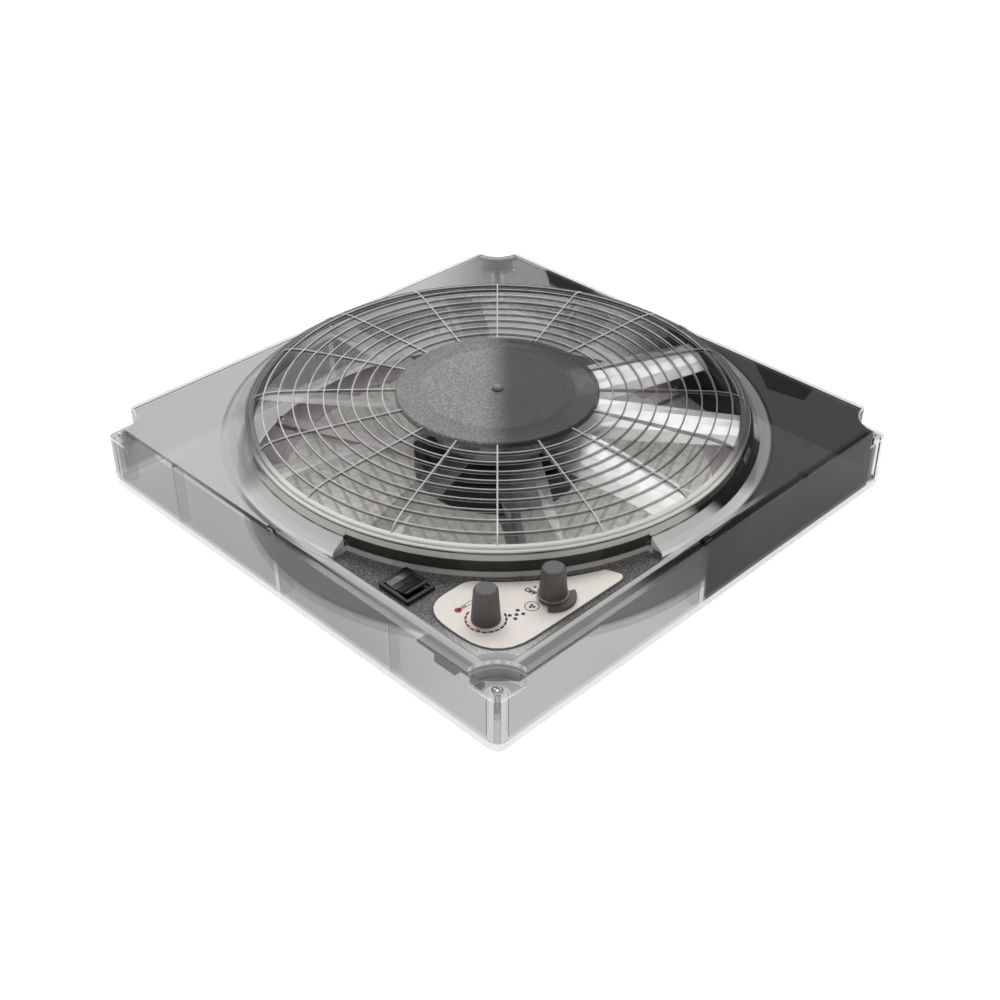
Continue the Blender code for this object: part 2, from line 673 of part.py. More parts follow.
# ---- Circuit board under the control floor ----------------------------------
def electronics():
    outline = [(0.1350, -0.1650), (0.1350, -0.2110), (0.1900, -0.2110),
               (0.2110, -0.1900), (0.2110, -0.1130), (0.1850, -0.1130),
               (0.1625, -0.1385)]
    board = place("control_board", plate("control_board", [outline], BOARD_Z,
                                         BOARD_Z + BOARD_T), BOARD)
    boolean(board, join("board_holes", [
        rod("hole", 0.0016, 0.030, 0.050, at, 12) for at in BOARD_BOSSES]))
    under = BOARD_Z - GAP
    for i, at in enumerate(BOARD_BOSSES):
        screw("board_screw_%d" % (i + 1), *at, under, 0.0026, 0.0010, 0.0090, -1)
    place("capacitor", turned("capacitor", [
        (0, under), (0.0050, under), (0.0050, under - 0.0008),
        (0.0046, under - 0.0014), (0.0050, under - 0.0020),
        (0.0050, under - 0.0125), (0.0044, under - 0.0130), (0, under - 0.0130)],
        24, at=(0.1960, -0.1560)), SLEEVE)
    term = place("terminal_block", block("terminal_block", (0.1490, -0.2085, under - 0.0100),
                                         (0.1690, -0.2000, under)), TERMINAL)
    boolean(term, join("terminal_mouths", [
        block("mouth", (0.1505 + i * 0.0062, -0.2030, under - 0.0085),
              (0.1550 + i * 0.0062, -0.1990, under - 0.0030)) for i in range(3)]))
    place("fuse_holder", block("fuse_holder", (0.1780, -0.2060, under - 0.0060),
                               (0.1900, -0.1990, under)), BLACK)
    place("blade_fuse", block("blade_fuse", (0.1790, -0.2045, under - 0.0125),
                              (0.1890, -0.2005, under - 0.0063)), FUSE)
    place("drive_transistor", block("drive_transistor", (0.1500, -0.1800, under - 0.0045),
                                    (0.1600, -0.1650, under)), BLACK)
    place("temperature_sensor", turned("temperature_sensor", [
        (0, under), (0.0006, under), (0.0006, under - 0.0040),
        (0.0018, under - 0.0052), (0.0021, under - 0.0070),
        (0.0013, under - 0.0086), (0, under - 0.0090)], 16,
        at=(0.2030, -0.1330)), BEAD)


electronics()


def motor_lead():
    points = [(0.1627, -0.1950, 0.0340), (0.1627, -0.1850, 0.0320),
              (0.1640, -0.1600, 0.0250), (0.1640, -0.1420, 0.0222),
              (0.1600, -0.1323, 0.0220), (0.1510, -0.1285, 0.0220),
              (0.1380, -0.1150, 0.0200), (0.1000, -0.0760, 0.0180),
              (0.0720, -0.0547, 0.0180), (0.0610, -0.0463, 0.0222),
              (0.0538, -0.0408, 0.0228)]
    place("motor_lead", tube("motor_lead", points, 0.0018, 2), LEAD)


motor_lead()
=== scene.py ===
"""Looks for the motorised roof-vent unit: smoked clear frame, guard grille,
clear-bladed fan over an insect screen, and a corner control panel."""

import math

import bmesh
import bpy
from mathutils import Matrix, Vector


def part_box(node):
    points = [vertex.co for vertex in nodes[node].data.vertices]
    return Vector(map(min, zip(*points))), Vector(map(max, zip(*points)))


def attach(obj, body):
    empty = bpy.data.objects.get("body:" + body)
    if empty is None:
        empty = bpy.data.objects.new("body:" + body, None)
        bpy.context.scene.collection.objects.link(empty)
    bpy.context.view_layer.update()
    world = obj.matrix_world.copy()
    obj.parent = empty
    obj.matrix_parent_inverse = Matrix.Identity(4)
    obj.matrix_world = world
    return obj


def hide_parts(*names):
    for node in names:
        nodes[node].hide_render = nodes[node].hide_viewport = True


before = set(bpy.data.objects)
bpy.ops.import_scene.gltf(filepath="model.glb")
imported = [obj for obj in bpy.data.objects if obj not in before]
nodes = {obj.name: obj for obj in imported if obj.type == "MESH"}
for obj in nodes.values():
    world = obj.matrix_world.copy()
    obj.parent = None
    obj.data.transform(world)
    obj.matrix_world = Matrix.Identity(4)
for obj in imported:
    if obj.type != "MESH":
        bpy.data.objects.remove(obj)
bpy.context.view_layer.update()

# ---- Studio ------------------------------------------------------------------
# A white product table lit from below, a broad soft light overhead behind the
# unit, a dimmer one at the back left, and a weak even fill.
floor_mesh = bpy.data.meshes.new("floor")
floor_bm = bmesh.new()
bmesh.ops.create_grid(floor_bm, x_segments=1, y_segments=1, size=6.0)
floor_bm.to_mesh(floor_mesh)
floor_bm.free()
floor = bpy.data.objects.new("floor", floor_mesh)
floor.location.z = -0.0004
bpy.context.collection.objects.link(floor)
floor_mat = bpy.data.materials.new("pale_floor")
floor_mat.use_nodes = True
floor_shader = floor_mat.node_tree.nodes["Principled BSDF"]
floor_shader.inputs["Base Color"].default_value = (0.93, 0.93, 0.93, 1)
floor_shader.inputs["Roughness"].default_value = 0.9
floor_shader.inputs["Specular IOR Level"].default_value = 0.1
floor_shader.inputs["Emission Color"].default_value = (1, 1, 1, 1)
floor_shader.inputs["Emission Strength"].default_value = 0.76
floor_mesh.materials.append(floor_mat)

camera_data = bpy.data.cameras.new("camera")
camera_data.lens = 54.4
camera_data.sensor_width = 36.0
camera_data.shift_x = 0.0026
camera = bpy.data.objects.new("camera", camera_data)
camera.location = (0.7128, -0.7128, 0.6972)
camera.rotation_euler = (math.radians(90 - 35.41), 0, math.radians(45))
bpy.context.collection.objects.link(camera)
bpy.context.scene.camera = camera


def softbox(name, place, aim, size, power):
    """A rectangular area light at place that points at aim."""
    lamp = bpy.data.lights.new(name, "AREA")
    lamp.shape = "RECTANGLE"
    lamp.size, lamp.size_y = size
    lamp.energy = power
    obj = bpy.data.objects.new(name, lamp)
    obj.location = place
    way = Vector(aim) - Vector(place)
    obj.rotation_euler = way.to_track_quat("-Z", "Y").to_euler()
    bpy.context.collection.objects.link(obj)


softbox("overhead", (-0.52, 0.52, 1.75), (0, 0, 0.05), (1.9, 1.0), 24)
softbox("behind_left", (-2.25, 1.20, 1.65), (0, 0, 0.05), (1.5, 1.3), 5)
softbox("front_fill", (1.6, -2.2, 2.4), (0, 0, 0), (1.6, 1.6), 8)

world = bpy.data.worlds.new("fill")
bpy.context.scene.world = world
world.use_nodes = True
world.node_tree.nodes["Background"].inputs["Color"].default_value = (1, 1, 1, 1)
world.node_tree.nodes["Background"].inputs["Strength"].default_value = 0.32
bpy.context.scene.view_settings.view_transform = "Standard"


# ---- Frame -------------------------------------------------------------------
# Injection moulded in smoked clear polycarbonate, glossy outside, with a
# spark-eroded grain on the control floor; the round shroud fits under it.
# Moulded edges are slightly rounded.
def group(name, sockets):
    """A new shader group; sockets is (name, in or out, kind, default) rows."""
    tree = bpy.data.node_groups.new(name, "ShaderNodeTree")
    for label, side, kind, value in sockets:
        socket = tree.interface.new_socket(
            name=label, in_out="INPUT" if side == "in" else "OUTPUT",
            socket_type="NodeSocket" + kind)
        if side == "in" and value is not None:
            socket.default_value = value
    return tree, tree.nodes.new("NodeGroupInput"), tree.nodes.new("NodeGroupOutput")


def node(tree, kind, settings=None, **inputs):
    """Adds a node, sets its properties, and sets or links its inputs."""
    made = tree.nodes.new("ShaderNode" + kind)
    for key, value in (settings or {}).items():
        setattr(made, key, value)
    for key, value in inputs.items():
        name = key.replace("_", " ")
        socket = made.inputs[int(key[1:])] if key[0] == "i" and key[1:].isdigit() \
            else made.inputs[name]
        if isinstance(value, bpy.types.NodeSocket):
            tree.links.new(value, socket)
        else:
            socket.default_value = value
    return made


def math_node(tree, operation, a, b=0.0, clamp=False):
    return node(tree, "Math", {"operation": operation, "use_clamp": clamp},
                i0=a, i1=b).outputs[0]


def ramp(tree, value, low, high, out_low=0.0, out_high=1.0):
    """A smooth step of value from low to high."""
    return node(tree, "MapRange", {"interpolation_type": "SMOOTHSTEP"},
                Value=value, From_Min=low, From_Max=high, To_Min=out_low,
                To_Max=out_high).outputs[0]


def blend_colour(tree, factor, a, b):
    mixed = tree.nodes.new("ShaderNodeMix")
    mixed.data_type = "RGBA"
    for socket, value in ((mixed.inputs[0], factor), (mixed.inputs[6], a),
                          (mixed.inputs[7], b)):
        if isinstance(value, bpy.types.NodeSocket):
            tree.links.new(value, socket)
        elif isinstance(value, tuple):
            socket.default_value = (*value, 1)
        else:
            socket.default_value = value
    return mixed.outputs[2]


def material(name, colour, roughness, metallic=0.0, **plain):
    mat = bpy.data.materials.new(name)
    mat.use_nodes = True
    shader = mat.node_tree.nodes["Principled BSDF"]
    shader.inputs["Base Color"].default_value = (*colour, 1)
    shader.inputs["Roughness"].default_value = roughness
    shader.inputs["Metallic"].default_value = metallic
    for key, value in plain.items():
        shader.inputs[key.replace("_", " ")].default_value = value
    return mat, mat.node_tree, shader


def smoke_and_shade_depth_group():
    """How deep the smoke tint is at a point: thin at the left and along the foot of the skirt,
    and deepened toward the right as painted shade."""
    tree, gin, gout = group("smoke_and_shade_depth", [
        ("Thin", "in", "Float", 0.2), ("Deep", "in", "Float", 0.5),
        ("Start", "in", "Float", 0.10), ("End", "in", "Float", 0.17),
        ("Depth", "out", "Float", None), ("Mask", "out", "Float", None)])
    at = node(tree, "TexCoord").outputs["Object"]
    xyz = node(tree, "SeparateXYZ", Vector=at)
    across = math_node(tree, "ADD", xyz.outputs[0], xyz.outputs[1])
    across = math_node(tree, "MULTIPLY", across, math.sqrt(0.5))
    mask = node(tree, "MapRange", {"interpolation_type": "SMOOTHSTEP"}, Value=across,
                From_Min=gin.outputs["Start"], From_Max=gin.outputs["End"])
    span = math_node(tree, "SUBTRACT", gin.outputs["Deep"], gin.outputs["Thin"])
    depth = math_node(tree, "MULTIPLY_ADD", mask.outputs[0], span)
    tree.links.new(gin.outputs["Thin"], depth.node.inputs[2])
    foot = ramp(tree, xyz.outputs[2], 0.0045, 0.0065, 0.30, 1.0)
    tree.links.new(math_node(tree, "MULTIPLY", depth, foot), gout.inputs["Depth"])
    tree.links.new(mask.outputs[0], gout.inputs["Mask"])
    return tree


smoke_and_shade_depth = smoke_and_shade_depth_group()


def grain_group():
    """Fine spark-eroded speckle: a value for colour and a normal for relief."""
    tree, gin, gout = group("moulded_grain", [
        ("Scale", "in", "Float", 900.0), ("Relief", "in", "Float", 0.3),
        ("Speckle", "out", "Float", None), ("Normal", "out", "Vector", None)])
    at = node(tree, "TexCoord").outputs["Object"]
    fine = node(tree, "TexNoise", {"noise_dimensions": "3D"}, Vector=at,
                Scale=gin.outputs["Scale"], Detail=2.0, Roughness=0.7)
    coarse = node(tree, "TexVoronoi", {"feature": "F1"}, Vector=at,
                  Scale=math_node(tree, "MULTIPLY", gin.outputs["Scale"], 0.6))
    both = math_node(tree, "MULTIPLY_ADD", fine.outputs[0], 0.7)
    tree.links.new(math_node(tree, "MULTIPLY", coarse.outputs["Distance"], 0.45),
                   both.node.inputs[2])
    speckle = ramp(tree, both, 0.35, 0.80)
    bump = node(tree, "Bump", Strength=gin.outputs["Relief"], Distance=0.0004,
                Height=speckle)
    tree.links.new(speckle, gout.inputs["Speckle"])
    tree.links.new(bump.outputs[0], gout.inputs["Normal"])
    return tree


moulded_grain = grain_group()


def add_group(tree, kind, **values):
    made = tree.nodes.new("ShaderNodeGroup")
    made.node_tree = kind
    for key, value in values.items():
        made.inputs[key].default_value = value
    return made


def smoked_material(name, thin, deep, glossy=0.07, edge=0.5):
    """Clear smoked plastic, with painted shade deepening it toward the right; grazing edges read
    denser, as in solid mouldings.
    """
    mat, tree, shader = material(name, (0.2, 0.2, 0.2), glossy,
                                 IOR=1.50, Specular_IOR_Level=0.16)
    depth = add_group(tree, smoke_and_shade_depth, Thin=thin, Deep=deep)
    rim = node(tree, "LayerWeight", Blend=0.30).outputs["Facing"]
    rim = ramp(tree, rim, 0.55, 1.0, 0.0, edge)
    alpha = math_node(tree, "ADD", depth.outputs["Depth"], rim, clamp=True)
    tree.links.new(alpha, shader.inputs["Alpha"])
    # Painted shade: the colour darkens toward the right with the depth mask.
    tint = blend_colour(tree, depth.outputs["Mask"], (0.16, 0.16, 0.16),
                        (0.022, 0.022, 0.024))
    tree.links.new(tint, shader.inputs["Base Color"])
    scuff = node(tree, "TexNoise", Scale=55.0, Detail=6.0, Roughness=0.6)
    tree.links.new(node(tree, "TexCoord").outputs["Object"], scuff.inputs["Vector"])
    tree.links.new(ramp(tree, scuff.outputs[0], 0.3, 0.75, glossy, glossy + 0.10),
                   shader.inputs["Roughness"])
    return mat, tree, shader, alpha, tint


def grained_material(name, light, dark, alpha, start, end, scale=520.0):
    """Spark-eroded plastic, pale at the left, with painted shade dark at the right."""
    mat, tree, shader = material(name, light, 0.42, IOR=1.55)
    at = node(tree, "TexCoord").outputs["Object"]
    xyz = node(tree, "SeparateXYZ", Vector=at)
    across = math_node(tree, "MULTIPLY",
                       math_node(tree, "ADD", xyz.outputs[0], xyz.outputs[1]), 0.7071)
    side = ramp(tree, across, start, end)
    grain = add_group(tree, moulded_grain, Scale=scale, Relief=0.5)
    tone = blend_colour(tree, side, light, dark)
    low = blend_colour(tree, 0.62, tone, (0.01, 0.01, 0.01))
    tree.links.new(blend_colour(tree, grain.outputs["Speckle"], low, tone),
                   shader.inputs["Base Color"])
    shader.inputs["Alpha"].default_value = alpha
    tree.links.new(grain.outputs["Normal"], shader.inputs["Normal"])
    return mat, tree, shader


def clean_edges(name, width, segments=2, angle=32):
    """Welds a CAD node's faces back together and rounds its sharp edges."""
    obj = nodes[name]
    weld = obj.modifiers.new("weld", "WELD")
    weld.merge_threshold = 0.000004
    flat = obj.modifiers.new("flat", "DECIMATE")
    flat.decimate_type = "DISSOLVE"
    flat.angle_limit = math.radians(0.6)
    if width:
        edge = obj.modifiers.new("edge", "BEVEL")
        edge.width = width
        edge.segments = segments
        edge.limit_method = "ANGLE"
        edge.angle_limit = math.radians(angle)
        edge.use_clamp_overlap = True
        edge.harden_normals = False
    return obj


def paint(obj, *mats):
    obj.data.materials.clear()
    for mat in mats:
        obj.data.materials.append(mat)


def both(tree, *tests):
    """1 where every test is 1."""
    mask = tests[0]
    for test in tests[1:]:
        mask = math_node(tree, "MULTIPLY", mask, test)
    return mask


def inside(tree, value, low, high, soft=0.0004):
    """1 where value lies between low and high, with soft ends."""
    return both(tree, ramp(tree, value, low - soft, low + soft),
                ramp(tree, value, high - soft, high + soft, 1.0, 0.0))


def blend_value(tree, factor, a, b):
    return node(tree, "Mix", {"data_type": "FLOAT"}, i0=factor, i2=a, i3=b).outputs[0]


def cover(tree, colour, alpha, mask, new_colour, new_alpha):
    """Lays a new colour and opacity over the old ones where mask is 1."""
    colour = blend_colour(tree, mask, colour, new_colour)
    return colour, blend_value(tree, mask, alpha, new_alpha)


def distance(tree, x, y):
    """How far a point is from the origin in plan."""
    flat = node(tree, "CombineXYZ", X=x, Y=y).outputs[0]
    return node(tree, "VectorMath", {"operation": "LENGTH"}, i0=flat).outputs["Value"]


def polygon(tree, x, y, corners):
    """1 inside a convex outline; corners run clockwise seen from above."""
    tests = []
    for (ax, ay), (bx, by) in zip(corners, corners[1:] + corners[:1]):
        reach = math.hypot(bx - ax, by - ay)
        nx, ny = (by - ay) / reach, (ax - bx) / reach
        far = math_node(tree, "ADD", math_node(tree, "MULTIPLY", x, nx),
                        math_node(tree, "MULTIPLY", y, ny))
        tests.append(ramp(tree, far, nx * ax + ny * ay - 0.0004, nx * ax + ny * ay + 0.0004))
    return both(tree, *tests)


smoked, tree, shader, alpha, colour = smoked_material("smoked_clear_plastic", 0.17, 0.66)
at = node(tree, "TexCoord").outputs["Object"]
xyz = node(tree, "SeparateXYZ", Vector=at)
x, y, z = xyz.outputs
radius = distance(tree, x, y)
across = math_node(tree, "MULTIPLY", math_node(tree, "ADD", x, y), math.sqrt(0.5))
away = math_node(tree, "MULTIPLY", math_node(tree, "SUBTRACT", y, x), math.sqrt(0.5))
side_x, side_y = math_node(tree, "ABSOLUTE", x), math_node(tree, "ABSOLUTE", y)
outmost = math_node(tree, "MAXIMUM", side_x, side_y)
HALF_SIDE = 0.22
BOSS_AT = 0.2105
DECK_TOP = (0.0558, 0.0562)
WALL_INNER = (0.2164, 0.2168)
corner_x = math_node(tree, "SUBTRACT", side_x, HALF_SIDE)
corner_y = math_node(tree, "SUBTRACT", side_y, HALF_SIDE)
from_corner = distance(tree, corner_x, corner_y)
on_top = ramp(tree, z, *DECK_TOP)

# The deck's smoke tone carries painted light, pale at the left, and painted shade, deep at the
# right.
deck = both(tree, ramp(tree, z, 0.0530, 0.0536), ramp(tree, z, 0.0596, 0.0590),
            ramp(tree, outmost, *WALL_INNER[::-1]))
deck_light_and_shade = blend_colour(tree, ramp(tree, across, -0.075, 0.005), (0.60, 0.60, 0.60),
                         (0.17, 0.17, 0.17))
deck_light_and_shade = blend_colour(tree, ramp(tree, across, 0.030, 0.120), deck_light_and_shade,
                         (0.068, 0.068, 0.069))
deck_alpha = math_node(tree, "MAXIMUM", ramp(tree, across, -0.075, 0.030, 0.74, 0.52),
                       ramp(tree, across, 0.060, 0.150, 0.0, 0.84))
colour, alpha = cover(tree, colour, alpha, deck, deck_light_and_shade, deck_alpha)
# Painted dark refractions in patches along the back of the deck.
refraction = math_node(
    tree, "MAXIMUM",
    polygon(tree, x, y, [(0.0897, 0.2142), (0.1494, 0.2142), (0.1548, 0.1933), (0.1229, 0.1876)]),
    polygon(tree, x, y, [(-0.1507, 0.2142), (-0.0560, 0.2142), (-0.0900, 0.1985),
                         (-0.1288, 0.1966)]))
colour, alpha = cover(tree, colour, alpha, both(tree, deck, refraction),
                      (0.014, 0.014, 0.014), 0.85)
control_end = both(tree, deck, ramp(tree, from_corner, 0.046, 0.036),
                   ramp(tree, away, -0.230, -0.250))
colour, alpha = cover(tree, colour, alpha, control_end, (0.50, 0.50, 0.50), 0.62)

# Skirt walls: paler near the control corner, painted shade near black past it on the right, and
# clearer along the foot, where they are painted pale as light from below.
wall = both(tree, ramp(tree, outmost, *WALL_INNER), ramp(tree, z, *DECK_TOP[::-1]))
wall_shade = ramp(tree, across, 0.1494, 0.1500)
thin_wall = ramp(tree, across, -0.13, -0.01, 0.50, 0.38)
wall_alpha = blend_value(tree, wall_shade, thin_wall, 0.90)
clear_end = both(tree, ramp(tree, x, 0.1965, 0.1975), ramp(tree, y, 0.1965, 0.1975))
wall_alpha = blend_value(tree, clear_end, wall_alpha, 0.30)
foot = ramp(tree, z, 0.0068, 0.0062)
wall_alpha = blend_value(tree, foot, wall_alpha, 0.42)
wall_colour = blend_colour(tree, wall_shade, (0.16, 0.16, 0.16), (0.007, 0.007, 0.007))
wall_colour = blend_colour(tree, clear_end, wall_colour, (0.30, 0.30, 0.30))
wall_colour = blend_colour(tree, foot, wall_colour, (0.90, 0.90, 0.90))
colour, alpha = cover(tree, colour, alpha, wall, wall_colour, wall_alpha)
rib_line = both(tree, wall, inside(tree, across, 0.1484, 0.1494, 0.0002),
                ramp(tree, x, 0.2160, 0.2170), ramp(tree, z, 0.0062, 0.0068))
colour, alpha = cover(tree, colour, alpha, rib_line, (0.014, 0.014, 0.014), 0.75)
ribs_only = both(tree, ramp(tree, outmost, *WALL_INNER[::-1]), ramp(tree, z, 0.0520, 0.0516),
                 ramp(tree, from_corner, 0.0260, 0.0280))
colour, alpha = cover(tree, colour, alpha, ribs_only, (0.2, 0.2, 0.2), 0.09)

# Dark refractions of the deck's rim in the far right wall.
drop = math_node(tree, "SUBTRACT", 0.0565, z)
left_end = math_node(tree, "SUBTRACT", x, math_node(tree, "MULTIPLY", drop, 1.1))
right_end = math_node(tree, "ADD", x, math_node(tree, "MULTIPLY", drop, 0.55))
far_wall = both(tree, ramp(tree, y, 0.2160, 0.2168), inside(tree, z, 0.0425, 0.0562))
patch = both(tree, far_wall, ramp(tree, left_end, 0.0855, 0.0865),
             ramp(tree, right_end, 0.1505, 0.1495))
second = both(tree, far_wall, ramp(tree, left_end, -0.1570, -0.1560),
              ramp(tree, right_end, -0.0950, -0.0960))
colour, alpha = cover(tree, colour, alpha, math_node(tree, "MAXIMUM", patch, second),
                      (0.008, 0.008, 0.008), 0.93)

# Round collar: painted highlights on its flare and lip, its front painted as a light band over
# painted shade, and painted shade at the right end.
near = ramp(tree, away, -0.085, -0.110)
flare = both(tree, inside(tree, radius, 0.1972, 0.2130, 0.0012),
             ramp(tree, z, 0.0591, 0.0597))
flare_alpha = blend_value(tree, near, 0.44, 0.84)
colour, alpha = cover(tree, colour, alpha, flare,
                      blend_colour(tree, near, (0.50, 0.50, 0.50), (0.80, 0.80, 0.79)),
                      flare_alpha)
collar = inside(tree, radius, 0.1900, 0.1992)
colour, alpha = cover(tree, colour, alpha,
                      both(tree, collar, near, ramp(tree, z, 0.0690, 0.0696)),
                      (0.72, 0.72, 0.67), 0.85)
panel_side = both(tree, ramp(tree, x, 0.0410, 0.0420), ramp(tree, y, -0.0410, -0.0420))
low_end = blend_value(tree, panel_side, 0.0612, 0.0556)
above_low = math_node(tree, "GREATER_THAN", z, low_end)
colour, alpha = cover(tree, colour, alpha,
                      both(tree, collar, near, above_low, ramp(tree, z, 0.0696, 0.0688)),
                      (0.040, 0.040, 0.034), 0.90)
lip = both(tree, inside(tree, radius, 0.1958, 0.2010),
           inside(tree, z, 0.0556, 0.0600, 0.0005), near)
colour, alpha = cover(tree, colour, alpha, lip, (0.78, 0.78, 0.76), 0.72)
shade = both(tree, collar, ramp(tree, across, 0.112, 0.128), ramp(tree, z, 0.0575, 0.0582),
             inside(tree, away, -0.142, 0.055, 0.006))
colour, alpha = cover(tree, colour, alpha, shade, (0.010, 0.010, 0.009), 0.95)
shade = both(tree, inside(tree, radius, 0.1950, 0.2050), ramp(tree, across, 0.128, 0.142),
             inside(tree, away, -0.130, -0.035, 0.008), ramp(tree, z, 0.0562, 0.0566))
colour, alpha = cover(tree, colour, alpha, shade, (0.012, 0.012, 0.010), 0.90)
left_shade = both(tree, inside(tree, radius, 0.1900, 0.1950), ramp(tree, across, -0.110, -0.140),
                  ramp(tree, z, 0.0580, 0.0590), inside(tree, away, -0.115, 0.100, 0.020))
colour, alpha = cover(tree, colour, alpha, left_shade, (0.045, 0.045, 0.042), 0.80)

# The deck's strip beside the controls is thin and pale.
strip = both(tree, ramp(tree, z, 0.0540, 0.0546), math_node(
    tree, "MAXIMUM",
    both(tree, ramp(tree, y, -0.2092, -0.2096), ramp(tree, x, 0.020, 0.050)),
    both(tree, ramp(tree, x, 0.2092, 0.2096), ramp(tree, y, -0.060, -0.090))))
colour, alpha = cover(tree, colour, alpha, strip, (0.60, 0.60, 0.59), 0.46)

# Deck edges: painted dark refraction lines inside a clear lip, painted highlights on the bevels
# beside the controls, and a painted highlight along the back lip with a painted dark line inside
# it.
edge_x = both(tree, inside(tree, x, 0.2138, 0.2192), ramp(tree, from_corner, 0.0252, 0.0256))
edge_y = inside(tree, y, -0.2186, -0.2164)
dark_edge = both(tree, on_top, math_node(tree, "MAXIMUM", edge_x, edge_y),
                 ramp(tree, from_corner, 0.060, 0.200, 0.40, 1.0))
colour, alpha = cover(tree, colour, alpha, dark_edge, (0.010, 0.010, 0.010), 0.94)
chamfer_highlight = math_node(
    tree, "MAXIMUM",
    both(tree, inside(tree, x, 0.2096, 0.2132), ramp(tree, y, 0.075, 0.000)),
    both(tree, inside(tree, y, -0.2150, -0.2096), ramp(tree, x, -0.020, 0.030)))
colour, alpha = cover(tree, colour, alpha, both(tree, on_top, chamfer_highlight),
                      (0.80, 0.80, 0.78), 0.62)
back_line = math_node(tree, "MAXIMUM", inside(tree, x, -0.2158, -0.2144, 0.0003),
                      inside(tree, y, 0.2144, 0.2158, 0.0003))
colour, alpha = cover(tree, colour, alpha, both(tree, on_top, back_line),
                      (0.02, 0.02, 0.02), 0.82)
back_lip_highlight = math_node(tree, "MAXIMUM", ramp(tree, x, -0.2160, -0.2164),
                     ramp(tree, y, 0.2160, 0.2164))
colour, alpha = cover(tree, colour, alpha, both(tree, on_top, back_lip_highlight),
                      (0.88, 0.88, 0.88), 0.78)

# Corner notches: painted highlights on the rims and a line halfway down, over darker upright
# ends, with painted shade near black at the far right.
notch_wall = both(tree, inside(tree, from_corner, 0.0240, 0.0259, 0.0001),
                  inside(tree, z, 0.0438, 0.0562))
ledge = both(tree, ramp(tree, from_corner, 0.0259, 0.0255), inside(tree, z, 0.0405, 0.0438),
             ramp(tree, outmost, 0.2172, 0.2168))
far_shade = ramp(tree, across, 0.255, 0.262)
notch_tone = blend_colour(tree, far_shade, (0.34, 0.34, 0.34), (0.012, 0.012, 0.012))
colour, alpha = cover(tree, colour, alpha, notch_wall, notch_tone, 0.80)
colour, alpha = cover(tree, colour, alpha, ledge, notch_tone, 0.50)
ends = both(tree, inside(tree, from_corner, 0.0248, 0.0264), ramp(tree, outmost, 0.2150, 0.2160),
            ramp(tree, z, 0.0430, 0.0438), ramp(tree, z, 0.0526, 0.0522))
colour, alpha = cover(tree, colour, alpha, ends, (0.30, 0.30, 0.30), 0.55)
rim_highlights = math_node(tree, "MAXIMUM",
                 both(tree, on_top, inside(tree, from_corner, 0.0253, 0.0259, 0.0001)),
                 both(tree, inside(tree, z, 0.0428, 0.0436, 0.0001),
                      ramp(tree, from_corner, 0.0262, 0.0258),
                      math_node(tree, "MAXIMUM", ramp(tree, from_corner, 0.0246, 0.0249),
                                ramp(tree, outmost, 0.2184, 0.2188))))
mid = both(tree, inside(tree, z, 0.0525, 0.0529, 0.0001),
           ramp(tree, from_corner, 0.0262, 0.0258))
colour, alpha = cover(tree, colour, alpha, math_node(tree, "MAXIMUM", rim_highlights, mid),
                      (0.88, 0.88, 0.88), 0.72)

# Screw bosses under the ledges: dark at their sides, with painted shade black at the far right.
boss_x = math_node(tree, "SUBTRACT", side_x, BOSS_AT)
boss_y = math_node(tree, "SUBTRACT", side_y, BOSS_AT)
from_boss = distance(tree, boss_x, boss_y)
boss = both(tree, ramp(tree, from_boss, 0.0088, 0.0082), ramp(tree, z, 0.0430, 0.0420),
            ramp(tree, outmost, 0.2172, 0.2168))
boss_rim = ramp(tree, node(tree, "LayerWeight", Blend=0.35).outputs["Facing"], 0.35, 0.80,
                0.12, 0.80)
boss_alpha = blend_value(tree, ramp(tree, across, 0.20, 0.25), boss_rim, 0.92)
colour, alpha = cover(tree, colour, alpha, boss, (0.040, 0.040, 0.040), boss_alpha)

# Grained floor of the control recess, paler toward the corner.
grain = add_group(tree, moulded_grain, Scale=1300.0, Relief=0.7)
near_corner = ramp(tree, away, -0.235, -0.285)
coarse = blend_colour(tree, near_corner, (0.24, 0.24, 0.228), (0.86, 0.86, 0.85))
fine = blend_colour(tree, near_corner, (0.05, 0.05, 0.046), (0.55, 0.55, 0.54))
grain_colour = blend_colour(tree, grain.outputs["Speckle"], fine, coarse)
floor_mask = both(tree, inside(tree, z, 0.0522, 0.0552, 0.0001),
                  inside(tree, x, 0.0420, 0.2092), inside(tree, y, -0.2092, -0.0420),
                  ramp(tree, radius, 0.1964, 0.1968), ramp(tree, from_corner, 0.0280, 0.0284))
colour, alpha = cover(tree, colour, alpha, floor_mask, grain_colour, 0.93)
tree.links.new(colour, shader.inputs["Base Color"])
tree.links.new(alpha, shader.inputs["Alpha"])
relief = node(tree, "Bump", Distance=0.0003, Height=grain.outputs["Speckle"],
              Strength=math_node(tree, "MULTIPLY", floor_mask, 0.5))
tree.links.new(relief.outputs[0], shader.inputs["Normal"])
paint(clean_edges("frame", 0.0007), smoked)

# The shroud under the deck is the same plastic, with painted shade nearly black inside at the
# right.
shroud_smoke_and_shade = smoked_material("shroud_smoke_and_shade", 0.42, 0.93)[0]
paint(clean_edges("shroud", 0.0005), shroud_smoke_and_shade)


